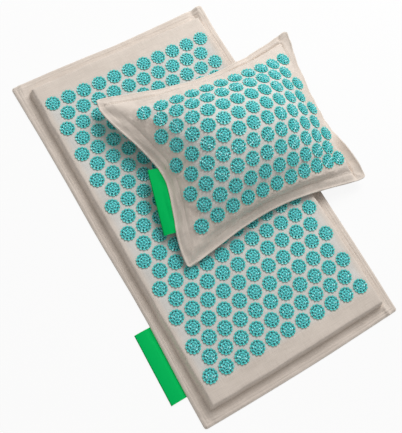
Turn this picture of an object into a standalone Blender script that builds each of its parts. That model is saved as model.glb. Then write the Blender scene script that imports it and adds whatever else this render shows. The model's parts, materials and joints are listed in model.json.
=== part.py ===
"""Acupressure mat with its pillow, in metres, +Z up.

The mat lies flat with its long side along Y and its underside at the origin.
The pillow lies on the mat's discs and reaches past the mat's +X edge.
"""
import math

import bmesh
import bpy
from mathutils import Matrix, Vector
from mathutils.bvhtree import BVHTree

# Fit between pieces that touch, and how far a cutter runs past what it cuts
CLEARANCE = 0.0003
OVERRUN = 0.002

# Linen
FABRIC = 0.0010

# Mat cover
MAT_LENGTH = 0.740
MAT_WIDTH = 0.430
MAT_CORNER_RADIUS = 0.0050
MAT_END_BOW = 0.0025
FLANGE_WIDTH = 0.0220
FLANGE_HEIGHT = 0.0046
FLANGE_EDGE_HEIGHT = 0.0034
STITCH_HEIGHT = 0.0030
STITCH_WIDTH = 0.0030
PAD_HEIGHT = 0.0230
PAD_WALL_RUN = 0.0050
PAD_EDGE_DROP = 0.0040
PAD_CROWN_RUN = 0.0140
CORNER_STEPS = 3
SIDE_STEPS = 4

# Lotus discs: every second row has one less, and the field keeps clear of the mat's edges
MAT_SIDE_MARGIN = 0.0300
MAT_END_MARGIN = 0.0525
PITCH = 0.0330
ROW_PITCH = 0.0294
DISC_DIAMETER = 0.0280
DISC_HEIGHT = 0.0047
DISC_RIM_HEIGHT = 0.0017
DISC_VALLEY_HEIGHT = 0.0024
DISC_VALLEY_DEPTH = 0.0022
DISC_LINK_WIDTH = 0.0060
DISC_PETALS = 6

# Pillow: its middle's distance in from the mat's side and end, its corners, how far its sides are drawn in
PILLOW_LENGTH = 0.415
PILLOW_DEPTH = 0.355
PILLOW_SIDE_INSET = 0.1050
PILLOW_END_INSET = 0.3080
PILLOW_FLANGE = 0.0240
BACK_LEFT_SHARES = (-0.500, 0.529)
BACK_RIGHT_SHARES = (0.532, 0.465)
FRONT_RIGHT_SHARES = (0.466, -0.508)
FRONT_LEFT_SHARES = (-0.513, -0.486)
LEFT_DRAW = 0.0395
RIGHT_DRAW = 0.0110
BACK_DRAW = 0.0320
FRONT_DRAW = 0.0240
LEFT_BEND = 2.6
RIGHT_BEND = 1.8
BACK_BEND = 1.3
FRONT_BEND = 1.6

# Heights of the pillow's edge over the disc tips that it lies on; its right side hangs past the mat
BACK_LEFT_HEIGHT = 0.0270
BACK_RIGHT_HEIGHT = 0.0
FRONT_RIGHT_HEIGHT = -0.0120
FRONT_LEFT_HEIGHT = 0.0040
LEFT_RISE = 0.0120
RIGHT_RISE = -0.0107
BACK_RISE = 0.0014
FRONT_RISE = 0.0127
PILLOW_FLANGE_DROP = 0.0126

# Crown of the pillow over its seam, and how full and skewed it is
CROWN_HEIGHT = 0.0680
CROWN_LONG_SHARE = 2.50
CROWN_DEEP_SHARE = 1.92
CROWN_FULL_SHARE = 0.81
CROWN_LEFT_SHARE = 0.17
CROWN_BACK_SHARE = 0.06
PILLOW_FLAT_SHARE = 0.84
PILLOW_WALL_SHARE = 1.5
PILLOW_LONG_CELLS = 16
PILLOW_DEEP_CELLS = 14
FILL_MARGIN_LINES = 3

# Discs on the pillow, in plan
PILLOW_SIDE_MARGIN = 0.0060
PILLOW_END_MARGIN = 0.0180
PILLOW_PITCH = 0.0319
PILLOW_ROW_PITCH = 0.0286
PILLOW_PITCH_SHARE = 0.042
PILLOW_ROW_SHARE = 0.052
DISC_FIELD_X = 0.0091
DISC_FIELD_Y = -0.0087
DISC_FIELD_YAW = math.radians(-1.8)
# How far the discs at the field's corners are drawn out: back left, back right, front right, front left
CORNER_PULLS = ((-0.0088, 0.0060), (0.0040, 0.0100), (-0.0045, -0.0030), (-0.0132, -0.0105))
CORNER_PULL_REACHES = (0.0400, 0.0350, 0.0600, 0.0550)
DISC_SLOPE_STEP = 0.0090
DISC_PROBES = 16

# Zips
ZIP_SLOT_WIDTH = 0.0080
ZIP_CHANNEL_WIDTH = 0.0160
ZIP_CHANNEL_DEPTH = 0.0040
ZIP_TAPE_WIDTH = 0.0100
ZIP_TAPE_THICKNESS = 0.0005
ZIP_TEETH_GAP = 0.0010
ZIP_TEETH_WIDTH = 0.0024
ZIP_TEETH_HEIGHT = 0.0016
ZIP_STOP_LENGTH = 0.0030
ZIP_END_MARGIN = 0.0040
SLIDER_LENGTH = 0.0100
SLIDER_WIDTH = 0.0072
SLIDER_PLATE = 0.0009
LUG_WIDTH = 0.0016
LUG_LENGTH = 0.0016
PULL_LENGTH = 0.0180
PULL_WIDTH = 0.0048
PULL_THICKNESS = 0.0010
PULL_FORK_LENGTH = 0.0030
PULL_END_STEPS = 6
PILLOW_PULL_HANG = math.radians(90.0)
MAT_ZIP_LENGTH = 0.300
MAT_ZIP_INSET = 0.0700
PILLOW_ZIP_LENGTH = 0.180
PILLOW_ZIP_INSET = 0.0825
PILLOW_ZIP_Y = -0.0073
ZIP_PARK = 0.0215

# Ribbon labels
LABEL_THICKNESS = 0.0009
MAT_LABEL_LENGTH = 0.1380
MAT_LABEL_WIDTH = 0.0300
MAT_LABEL_INSET = 0.1350
PILLOW_LABEL_LENGTH = 0.1240
PILLOW_LABEL_WIDTH = 0.0205
PILLOW_LABEL_SHARE = -0.30
PILLOW_LABEL_DROOP = math.radians(18.0)

# Colours and roughness
LINEN_COLOUR = (0.515, 0.479, 0.407)
LOTUS_COLOUR = (0.060, 0.390, 0.370)
RIBBON_COLOUR = (0.004, 0.445, 0.098)
COIR_COLOUR = (0.220, 0.120, 0.055)
HULL_COLOUR = (0.070, 0.045, 0.030)
TAPE_COLOUR = (0.480, 0.440, 0.370)
TEETH_COLOUR = (0.420, 0.390, 0.330)
METAL_COLOUR = (0.560, 0.550, 0.530)
CLOTH_ROUGHNESS = 0.9
PLASTIC_ROUGHNESS = 0.3
RIBBON_ROUGHNESS = 0.55
SMOOTH_ANGLE = math.radians(32.0)


def material(name, colour, roughness, metallic=0):
    """Make a plain material for one kind of piece."""
    made = bpy.data.materials.new(name)
    made.use_nodes = True
    shader = made.node_tree.nodes["Principled BSDF"]
    shader.inputs["Base Color"].default_value = (*colour, 1)
    shader.inputs["Roughness"].default_value = roughness
    shader.inputs["Metallic"].default_value = metallic
    made.diffuse_color = (*colour, 1)
    return made


def add_object(name, vertices, faces, finish, parent=None):
    """Add one closed mesh with its faces pointing out."""
    mesh = bpy.data.meshes.new(name)
    mesh.from_pydata([tuple(v) for v in vertices], [], faces)
    if finish:
        mesh.materials.append(finish)
    shape = bmesh.new()
    shape.from_mesh(mesh)
    bmesh.ops.recalc_face_normals(shape, faces=shape.faces)
    shape.to_mesh(mesh)
    shape.free()
    mesh.shade_smooth()
    mesh.set_sharp_from_angle(angle=SMOOTH_ANGLE)
    made = bpy.data.objects.new(name, mesh)
    bpy.context.scene.collection.objects.link(made)
    made.parent = parent
    return made


def add_frame(name, place, turn=0, parent=None):
    """Add an empty that carries the pieces of one sub-assembly."""
    frame = bpy.data.objects.new(name, None)
    bpy.context.scene.collection.objects.link(frame)
    frame.location = place
    frame.rotation_euler = (0, 0, turn)
    frame.parent = parent
    return frame


def box_shape(low, high):
    """Return the corners and faces of a box."""
    corners = [(x, y, z) for z in (low[2], high[2]) for y in (low[1], high[1]) for x in (low[0], high[0])]
    faces = [(0, 1, 3, 2), (4, 5, 7, 6), (0, 1, 5, 4), (2, 3, 7, 6), (0, 2, 6, 4), (1, 3, 7, 5)]
    return corners, faces


def add_box(name, low, high, finish, parent=None):
    """Add a box between two corners."""
    return add_object(name, *box_shape(low, high), finish, parent)


def combine(target, name, low, high, operation, frame, place=(0, 0, 0), turn=(0, 0, 0)):
    """Cut a box out of a piece, or join one to it, in the frame's coordinates."""
    tool = add_box(f"{frame.name}_{name}_tool", low, high, None, frame)
    tool.location = place
    tool.rotation_euler = turn
    tool.hide_render = True
    tool.display_type = "WIRE"
    step = target.modifiers.new(name, "BOOLEAN")
    step.operation = operation
    step.solver = "EXACT"
    step.object = tool


def outline(inset, z):
    """Return the mat's outline, moved in by an inset, at a height."""
    half_x = MAT_WIDTH / 2 - inset
    half_y = MAT_LENGTH / 2 - MAT_END_BOW - inset
    radius = MAT_CORNER_RADIUS
    points = []
    for quarter, (side_x, side_y) in enumerate(((1, 1), (-1, 1), (-1, -1), (1, -1))):
        centre = Vector((side_x * (half_x - radius), side_y * (half_y - radius), z))
        for step in range(CORNER_STEPS + 1):
            angle = math.tau / 4 * (quarter + step / CORNER_STEPS)
            points.append(centre + radius * Vector((math.cos(angle), math.sin(angle), 0)))
        if side_x == side_y:
            for step in range(1, SIDE_STEPS):
                share = 1 - 2 * step / SIDE_STEPS
                bow = MAT_END_BOW * (1 - share * share)
                points.append(Vector((side_x * share * (half_x - radius), side_y * (half_y + bow), z)))
    return points


def loft(rings):
    """Join rings of equal length and cap both ends."""
    count = len(rings[0])
    vertices = [point for ring in rings for point in ring]
    faces = [tuple(range(count)), tuple(range(len(vertices) - count, len(vertices)))]
    for start in range(0, len(vertices) - count, count):
        for step in range(count):
            after = (step + 1) % count
            faces.append((start + step, start + after, start + count + after, start + count + step))
    return vertices, faces


def disc_shape():
    """Return one lotus disc: a foot ring, a lobed rim ring and a raised middle.

    The foot's narrow sides at +X and -X, with the petal tip over each, face the next discs in a row.
    """
    radius = DISC_DIAMETER / 2
    half_link = math.asin(DISC_LINK_WIDTH / 2 / radius)
    foot = []
    for side in (0, math.pi):
        foot += [side - half_link, side + half_link, side + math.tau / 6, side + math.tau / 3]
    points = [Vector((radius * math.cos(a), radius * math.sin(a), 0)) for a in foot]
    for lobe in range(DISC_PETALS):
        tip = math.tau * lobe / DISC_PETALS
        valley = tip + math.pi / DISC_PETALS
        low = radius - DISC_VALLEY_DEPTH
        points.append(Vector((radius * math.cos(tip), radius * math.sin(tip), DISC_RIM_HEIGHT)))
        points.append(Vector((low * math.cos(valley), low * math.sin(valley), DISC_VALLEY_HEIGHT)))
    points.append(Vector((0, 0, DISC_HEIGHT)))
    rim = len(foot)
    top = len(points) - 1
    around = 2 * DISC_PETALS
    faces = [tuple(reversed(range(rim)))]
    faces += [(rim + step, rim + (step + 1) % around, top) for step in range(around)]
    foot_of_tip = (1, 2, 3, 5, 6, 7)
    for lobe in range(DISC_PETALS):
        tip = rim + 2 * lobe
        left = foot_of_tip[lobe]
        right = (left + 1) % rim
        faces.append((left, tip + 1, tip))
        faces.append((left, right, tip + 1))
        faces.append((right, rim + (2 * lobe + 2) % around, tip + 1))
    facing = ((0, 1, rim), (4, 5, rim + DISC_PETALS))
    return points, faces, facing


def add_disc_row(name, places, finish, parent=None):
    """Add a row of discs as one body, with a low ridge between each disc and the next."""
    points, faces, facing = disc_shape()
    vertices = []
    row_faces = []
    for number, place in enumerate(places):
        start = number * len(points)
        vertices += [place @ point for point in points]
        row_faces += [tuple(start + index for index in face) for face in faces]
        first, last = facing
        if number == 0:
            row_faces.append(tuple(start + index for index in last))
        if number == len(places) - 1:
            row_faces.append(tuple(start + index for index in first))
            continue
        after = start + len(points)
        here = [start + index for index in first]
        there = [after + last[1], after + last[0], after + last[2]]
        for one, two in ((0, 1), (1, 2), (2, 0)):
            row_faces.append((here[one], here[two], there[two], there[one]))
    return add_object(name, vertices, row_faces, finish, parent)


def fitted(room, pitch):
    """Return how many discs, or rows of them, fit in a length."""
    return int((room - DISC_DIAMETER) / pitch) + 1


def add_mat_cover(linen):
    """Add the mat's upper panel with its flange and pad, and its lower panel."""
    seam = FABRIC + CLEARANCE
    foot = FLANGE_WIDTH + STITCH_WIDTH
    shoulder = foot + PAD_WALL_RUN
    crown = shoulder + PAD_CROWN_RUN
    outside = [(crown, PAD_HEIGHT), (shoulder, PAD_HEIGHT - PAD_EDGE_DROP), (foot, FLANGE_HEIGHT),
               (FLANGE_WIDTH, STITCH_HEIGHT), (FLANGE_WIDTH / 2, FLANGE_HEIGHT),
               (MAT_CORNER_RADIUS / 2, FLANGE_HEIGHT), (0, FLANGE_EDGE_HEIGHT), (0, seam)]
    inside = [(foot + FABRIC, seam), (shoulder + FABRIC, PAD_HEIGHT - PAD_EDGE_DROP - FABRIC),
              (crown, PAD_HEIGHT - FABRIC)]
    rings = [outline(inset, z) for inset, z in outside + inside]
    add_object("mat_top_panel", *loft(rings), linen)
    lower = add_object("mat_bottom_panel", *loft([outline(0, 0), outline(0, FABRIC)]), linen)
    core = [(inset + CLEARANCE, z - CLEARANCE) for inset, z in inside[1:]]
    core.insert(0, (inside[0][0] + CLEARANCE, seam))
    return lower, core


def add_zip(prefix, length, hang, panel, filling, frame, tape_finish, teeth_finish, metal):
    """Add a recessed zip in its frame's coordinates: X along the zip, +Z into the product.

    Its pull lies in the channel where hang is zero, and is turned down from it by the angle hang.
    """
    half = length / 2
    roof = ZIP_CHANNEL_DEPTH + FABRIC
    tape_low = roof + CLEARANCE
    tape_high = tape_low + ZIP_TAPE_THICKNESS
    teeth_high = tape_low - CLEARANCE
    teeth_low = teeth_high - ZIP_TEETH_HEIGHT
    slider_high = tape_high + CLEARANCE + SLIDER_PLATE
    inner_y = ZIP_TEETH_GAP / 2
    outer_y = inner_y + ZIP_TEETH_WIDTH
    tape_y = inner_y + ZIP_TAPE_WIDTH
    margin = half + ZIP_END_MARGIN
    channel = ZIP_CHANNEL_WIDTH / 2
    slot = ZIP_SLOT_WIDTH / 2

    wall = (margin + FABRIC, channel + FABRIC)
    combine(panel, "wall", (-wall[0], -wall[1], 0), (*wall, roof), "UNION", frame)
    combine(panel, "channel", (-margin, -channel, -OVERRUN), (margin, channel, ZIP_CHANNEL_DEPTH),
            "DIFFERENCE", frame)
    combine(panel, "slot", (-half, -slot, -OVERRUN), (half, slot, roof + OVERRUN), "DIFFERENCE", frame)
    room = (wall[0] + CLEARANCE, tape_y + CLEARANCE, slider_high + CLEARANCE)
    combine(filling, "room", (-room[0], -room[1], -OVERRUN), room, "DIFFERENCE", frame)

    stop = half - CLEARANCE
    stop_inside = stop - ZIP_STOP_LENGTH
    for side, sign in (("left", -1), ("right", 1)):
        near, far = sorted((sign * inner_y, sign * tape_y))
        add_box(f"{prefix}_tape_{side}", (-margin, near, tape_low), (margin, far, tape_high),
                tape_finish, frame)
        near, far = sorted((sign * inner_y, sign * outer_y))
        end = stop_inside - CLEARANCE
        add_box(f"{prefix}_teeth_{side}", (-end, near, teeth_low), (end, far, teeth_high),
                teeth_finish, frame)
        near, far = sorted((sign * stop_inside, sign * stop))
        end_name = "top" if sign > 0 else "bottom"
        add_box(f"{prefix}_{end_name}_stop", (near, -outer_y, teeth_low), (far, outer_y, teeth_high),
                metal, frame)
    add_slider(prefix, half - ZIP_PARK, hang, teeth_low, slider_high, frame, metal)


def add_slider(prefix, park, hang, teeth_low, slider_high, frame, metal):
    """Add the slider round the teeth, and its pull tab forked over a lug under it."""
    plate_x = SLIDER_LENGTH / 2
    plate_y = SLIDER_WIDTH / 2
    lower_high = teeth_low - CLEARANCE
    lower_low = lower_high - SLIDER_PLATE
    thick = PULL_THICKNESS / 2
    pivot = lower_low - CLEARANCE - thick
    place = (park, 0, 0)
    slider = add_box(f"{prefix}_slider", (-plate_x, -plate_y, slider_high - SLIDER_PLATE),
                     (plate_x, plate_y, slider_high), metal, frame)
    slider.location = place
    web = ZIP_TEETH_GAP / 2 - CLEARANCE
    combine(slider, "web", (plate_x / 2, -web, lower_low), (plate_x, web, slider_high), "UNION",
            frame, place)
    combine(slider, "plate", (-plate_x, -plate_y, lower_low), (plate_x, plate_y, lower_high),
            "UNION", frame, place)
    combine(slider, "lug", (-LUG_LENGTH / 2, -LUG_WIDTH / 2, pivot - thick),
            (LUG_LENGTH / 2, LUG_WIDTH / 2, lower_high), "UNION", frame, place)

    side = [Vector((-PULL_LENGTH, 0, -thick)), Vector((-PULL_LENGTH, 0, thick))]
    for step in range(PULL_END_STEPS + 1):
        angle = math.pi * step / PULL_END_STEPS
        side.append(Vector((thick * math.sin(angle), 0, thick * math.cos(angle))))
    rings = [[point + Vector((0, y, 0)) for point in side] for y in (-PULL_WIDTH / 2, PULL_WIDTH / 2)]
    pull = add_object(f"{prefix}_pull", *loft(rings), metal, frame)
    pull.location = (park, 0, pivot)
    pull.rotation_euler = (0, -hang, 0)
    fork = LUG_WIDTH / 2 + CLEARANCE
    combine(pull, "fork", (-PULL_FORK_LENGTH, -fork, -PULL_THICKNESS),
            (PULL_FORK_LENGTH, fork, PULL_THICKNESS), "DIFFERENCE", frame, pull.location,
            pull.rotation_euler)


def add_label(name, length, width, centre, along, droop, finish, parent=None):
    """Add a ribbon label that hangs out from its seam, with its origin on the seam's line."""
    inward = along.cross(Vector((0, 0, 1))).normalized()
    turn = Matrix((inward, along, inward.cross(along))).transposed().to_4x4()
    label = add_box(name, (-width, -length / 2, -LABEL_THICKNESS / 2),
                    (0, length / 2, LABEL_THICKNESS / 2), finish, parent)
    outward = CLEARANCE + LABEL_THICKNESS / 2
    hinge = Matrix.Translation(centre - outward * inward) @ turn
    label.matrix_basis = hinge @ Matrix.Rotation(-droop, 4, "Y")


def add_mat_rows(plastic):
    """Add the mat's rows of discs on its upper panel."""
    seat = PAD_HEIGHT + CLEARANCE
    longest = fitted(MAT_WIDTH - 2 * MAT_SIDE_MARGIN, PITCH)
    rows = fitted(MAT_LENGTH - 2 * (MAT_END_BOW + MAT_END_MARGIN), ROW_PITCH)
    for row in range(rows):
        count = longest - row % 2
        y = (row - (rows - 1) / 2) * ROW_PITCH
        places = [Matrix.Translation(((disc - (count - 1) / 2) * PITCH, y, seat)) for disc in range(count)]
        add_disc_row(f"mat_lotus_row_{row + 1:02d}", places, plastic)


def pillow_corner(shares, height):
    """Return a corner of the pillow's edge."""
    return Vector((shares[0] * PILLOW_LENGTH, shares[1] * PILLOW_DEPTH, height))


def seam_place(size):
    """Return where the seam lies between the middle, 0, and the edge, 1."""
    return 1 - 2 * PILLOW_FLANGE / size


def pillow_middle(s, t):
    """Return the pillow's middle surface, where s and t run from -1 to 1 between its edges.

    Each edge is drawn in and raised between its corners, the inside is blended from the edges, and
    the flange falls from the seam to the edge.
    """
    back_left = pillow_corner(BACK_LEFT_SHARES, BACK_LEFT_HEIGHT)
    back_right = pillow_corner(BACK_RIGHT_SHARES, BACK_RIGHT_HEIGHT)
    front_right = pillow_corner(FRONT_RIGHT_SHARES, FRONT_RIGHT_HEIGHT)
    front_left = pillow_corner(FRONT_LEFT_SHARES, FRONT_LEFT_HEIGHT)
    u = (1 + s) / 2
    v = (1 + t) / 2
    sides = 1 - t * t
    ends = 1 - s * s
    left = front_left.lerp(back_left, v)
    left += Vector((LEFT_DRAW * sides ** LEFT_BEND, 0, LEFT_RISE * sides))
    right = front_right.lerp(back_right, v)
    right += Vector((-RIGHT_DRAW * sides ** RIGHT_BEND, 0, RIGHT_RISE * sides))
    front = front_left.lerp(front_right, u)
    front += Vector((0, FRONT_DRAW * ends ** FRONT_BEND, FRONT_RISE * ends))
    back = back_left.lerp(back_right, u)
    back += Vector((0, -BACK_DRAW * ends ** BACK_BEND, BACK_RISE * ends))
    corners = front_left.lerp(front_right, u).lerp(back_left.lerp(back_right, u), v)
    outside = max(0, *((abs(place) - seam_place(size)) / (1 - seam_place(size))
                       for place, size in ((s, PILLOW_LENGTH), (t, PILLOW_DEPTH))))
    fall = Vector((0, 0, PILLOW_FLANGE_DROP * (1 - outside)))
    return left.lerp(right, u) + front.lerp(back, v) - corners + fall


def body_share(value, size):
    """Return a place between the edges as a share of the way from the middle to the seam."""
    return max(-1, min(1, value / seam_place(size)))


def crown(s, t):
    """Return how far the filling lifts the upper panel over the middle surface."""
    a = body_share(s, PILLOW_LENGTH)
    b = body_share(t, PILLOW_DEPTH)
    long_part = max(0, 1 - abs(a) ** CROWN_LONG_SHARE) ** CROWN_FULL_SHARE
    deep_part = max(0, 1 - abs(b) ** CROWN_DEEP_SHARE) ** CROWN_FULL_SHARE
    return CROWN_HEIGHT * long_part * deep_part * (1 - CROWN_LEFT_SHARE * a + CROWN_BACK_SHARE * b)


def settle(value, size):
    """Return how far the underside has come down to what it lies on, from 0 at the seam to 1."""
    rise = min(1, (1 - abs(body_share(value, size))) / (1 - PILLOW_FLAT_SHARE))
    return rise * rise * (3 - 2 * rise)


def upper_skin(s, t):
    """Return the upper panel's outer face."""
    point = pillow_middle(s, t)
    point.z += CLEARANCE / 2 + FABRIC + crown(s, t)
    return point


def upper_lining(s, t):
    """Return the upper panel's inner face."""
    point = pillow_middle(s, t)
    point.z += CLEARANCE / 2 + max(0, crown(s, t) - (PILLOW_WALL_SHARE - 1) * FABRIC)
    return point


def lower_skin(s, t):
    """Return the lower panel's outer face, flat where the pillow lies on the discs."""
    point = pillow_middle(s, t)
    high = point.z - CLEARANCE / 2 - FABRIC
    share = settle(s, PILLOW_LENGTH) * settle(t, PILLOW_DEPTH)
    point.z = high + share * (CLEARANCE - high)
    return point


def lower_lining(s, t):
    """Return the lower panel's inner face."""
    return lower_skin(s, t) + Vector((0, 0, FABRIC))


def grid_lines(size, cells):
    """Return the grid's places between the edges, closer together towards the seams."""
    seam = seam_place(size)
    body = [seam * math.sin(math.pi / 2 * (2 * step / cells - 1)) for step in range(cells + 1)]
    return [-1, *body, 1]


def pad_shape(over, under, long_lines, deep_lines):
    """Return a closed body between two surfaces over a grid."""
    columns = len(long_lines)
    rows = len(deep_lines)
    vertices = [skin(s, t) for skin in (over, under) for t in deep_lines for s in long_lines]
    layer = columns * rows
    faces = []
    for row in range(rows - 1):
        for column in range(columns - 1):
            a = row * columns + column
            b, c, d = a + 1, a + columns + 1, a + columns
            faces += [(a, b, c), (a, c, d)]
            faces += [(layer + c, layer + b, layer + a), (layer + d, layer + c, layer + a)]
    rim = list(range(columns))
    rim += [row * columns + columns - 1 for row in range(1, rows)]
    rim += [(rows - 1) * columns + column for column in range(columns - 2, -1, -1)]
    rim += [row * columns for row in range(rows - 2, 0, -1)]
    for here, after in zip(rim, rim[1:] + rim[:1]):
        faces.append((here, after, layer + after, layer + here))
    return vertices, faces


def loose_fill_top(s, t):
    """Return the filling's upper face, just under the upper panel."""
    return upper_lining(s, t) - Vector((0, 0, 2 * CLEARANCE))


def fill_bottom(s, t):
    """Return the filling's lower face, just over the lower panel."""
    return lower_lining(s, t) + Vector((0, 0, CLEARANCE))


def disc_seat(tree, vertices, x, y):
    """Return a disc's place on the pillow: square to the cloth and just clear of it all round."""
    def drop(px, py):
        return tree.ray_cast(Vector((px, py, PILLOW_LENGTH)), Vector((0, 0, -1)))[0]

    step = DISC_SLOPE_STEP
    along = (drop(x + step, y) - drop(x - step, y)).normalized()
    across = drop(x, y + step) - drop(x, y - step)
    up = along.cross(across).normalized()
    turn = Matrix((along, up.cross(along), up)).transposed().to_4x4()
    centre = drop(x, y)
    radius = DISC_DIAMETER / 2
    lift = max([0] + [(v - centre).dot(up) for v in vertices if (v - centre).length < radius])
    for reach in (radius / 2, radius, PITCH / 2):
        for probe in range(DISC_PROBES):
            angle = math.tau * probe / DISC_PROBES
            rim = centre + turn.to_3x3() @ Vector((reach * math.cos(angle), reach * math.sin(angle), 0))
            lift = max(lift, (drop(rim.x, rim.y) - rim).dot(up))
    return Matrix.Translation(centre + (lift + CLEARANCE) * up) @ turn


def drawn_out(x, y, half_x, half_y):
    """Return a disc's place in the field, drawn out towards the field's corners."""
    spot = Vector((x, y, 0))
    corners = ((-half_x, half_y), (half_x, half_y), (half_x, -half_y), (-half_x, -half_y))
    for corner, pull, reach in zip(corners, CORNER_PULLS, CORNER_PULL_REACHES):
        spot += Vector((*pull, 0)) * math.exp(-math.dist(corner, (x, y)) / reach)
    return spot


def add_pillow_rows(vertices, faces, plastic, frame):
    """Add the pillow's rows of discs on its upper panel."""
    tree = BVHTree.FromPolygons(vertices, faces)
    field = Matrix.Translation((DISC_FIELD_X, DISC_FIELD_Y, 0)) @ Matrix.Rotation(DISC_FIELD_YAW, 4, "Z")
    longest = fitted(PILLOW_LENGTH - 2 * (PILLOW_FLANGE + PILLOW_SIDE_MARGIN), PILLOW_PITCH)
    rows = fitted(PILLOW_DEPTH - 2 * (PILLOW_FLANGE + PILLOW_END_MARGIN), PILLOW_ROW_PITCH)
    half_rows = (rows - 1) / 2
    half_discs = (longest - 1) / 2
    half_x = half_discs * PILLOW_PITCH * (1 - PILLOW_PITCH_SHARE)
    half_y = half_rows * PILLOW_ROW_PITCH * (1 - PILLOW_ROW_SHARE)
    for row in range(rows):
        deep = (row - half_rows) / half_rows
        y = half_rows * PILLOW_ROW_PITCH * deep * (1 - PILLOW_ROW_SHARE * deep * deep)
        count = longest - row % 2
        places = []
        for disc in range(count):
            wide = (disc - (count - 1) / 2) / half_discs
            x = half_discs * PILLOW_PITCH * wide * (1 - PILLOW_PITCH_SHARE * wide * wide)
            spot = field @ drawn_out(x, y, half_x, half_y)
            places.append(disc_seat(tree, vertices, spot.x, spot.y))
        add_disc_row(f"pillow_lotus_row_{row + 1:02d}", places, plastic, frame)


def add_pillow(linen, hulls, plastic, ribbon, tape, teeth, metal):
    """Add the pillow on the mat, in a frame whose floor is the plane of the mat's disc tips."""
    place = (MAT_WIDTH / 2 - PILLOW_SIDE_INSET, MAT_LENGTH / 2 - PILLOW_END_INSET,
             PAD_HEIGHT + CLEARANCE + DISC_HEIGHT)
    frame = add_frame("pillow_frame", place)
    long_lines = grid_lines(PILLOW_LENGTH, PILLOW_LONG_CELLS)
    deep_lines = grid_lines(PILLOW_DEPTH, PILLOW_DEEP_CELLS)
    vertices, faces = pad_shape(upper_skin, upper_lining, long_lines, deep_lines)
    add_object("pillow_top_panel", vertices, faces, linen, frame)
    lower = add_object("pillow_bottom_panel", *pad_shape(lower_lining, lower_skin, long_lines, deep_lines),
                       linen, frame)
    inner = slice(FILL_MARGIN_LINES, -FILL_MARGIN_LINES)
    fill = add_object("pillow_hull_fill",
                      *pad_shape(loose_fill_top, fill_bottom, long_lines[inner], deep_lines[inner]),
                      hulls, frame)
    add_pillow_rows(vertices, faces, plastic, frame)
    zip_place = (PILLOW_LENGTH / 2 - PILLOW_ZIP_INSET, PILLOW_ZIP_Y, CLEARANCE)
    zip_frame = add_frame("pillow_zip_frame", zip_place, math.tau / 4, frame)
    add_zip("pillow_zip", PILLOW_ZIP_LENGTH, PILLOW_PULL_HANG, lower, fill, zip_frame,
            tape, teeth, metal)
    half = PILLOW_LABEL_LENGTH / PILLOW_DEPTH
    front = pillow_middle(-1, PILLOW_LABEL_SHARE - half)
    back = pillow_middle(-1, PILLOW_LABEL_SHARE + half)
    add_label("pillow_label", PILLOW_LABEL_LENGTH, PILLOW_LABEL_WIDTH, (front + back) / 2,
              (back - front).normalized(), PILLOW_LABEL_DROOP, ribbon, frame)


def main():
    """Build the mat and the pillow from an empty scene."""
    for thing in list(bpy.data.objects):
        bpy.data.objects.remove(thing)
    linen = material("linen", LINEN_COLOUR, CLOTH_ROUGHNESS)
    plastic = material("lotus_plastic", LOTUS_COLOUR, PLASTIC_ROUGHNESS)
    ribbon = material("ribbon", RIBBON_COLOUR, RIBBON_ROUGHNESS)
    coir = material("coir", COIR_COLOUR, CLOTH_ROUGHNESS)
    hulls = material("hulls", HULL_COLOUR, CLOTH_ROUGHNESS)
    tape = material("zip_tape", TAPE_COLOUR, CLOTH_ROUGHNESS)
    teeth = material("zip_teeth", TEETH_COLOUR, PLASTIC_ROUGHNESS)
    metal = material("zip_metal", METAL_COLOUR, PLASTIC_ROUGHNESS, 1)

    lower, core_profile = add_mat_cover(linen)
    core = add_object("mat_coir_core", *loft([outline(inset, z) for inset, z in core_profile]), coir)
    add_mat_rows(plastic)
    zip_frame = add_frame("mat_zip_frame", (0, MAT_ZIP_INSET - MAT_LENGTH / 2, 0))
    add_zip("mat_zip", MAT_ZIP_LENGTH, 0, lower, core, zip_frame, tape, teeth, metal)
    seam = Vector((-MAT_WIDTH / 2, MAT_LABEL_INSET - MAT_LENGTH / 2, CLEARANCE + LABEL_THICKNESS / 2))
    add_label("mat_label", MAT_LABEL_LENGTH, MAT_LABEL_WIDTH, seam, Vector((0, 1, 0)), 0, ribbon)
    add_pillow(linen, hulls, plastic, ribbon, tape, teeth, metal)


main()
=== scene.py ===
"""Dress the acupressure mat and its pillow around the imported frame. Metres, +Z up."""
from __future__ import annotations

import json
import logging
import math
from contextlib import contextmanager
from dataclasses import dataclass, field
from enum import Enum
from typing import Callable, Iterator, Sequence

import bpy
import numpy as np
from bpy.types import Material, Node, NodeSocket, Object
from mathutils import Matrix, Vector, noise
from mathutils.bvhtree import BVHTree
from mathutils.kdtree import KDTree

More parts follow.
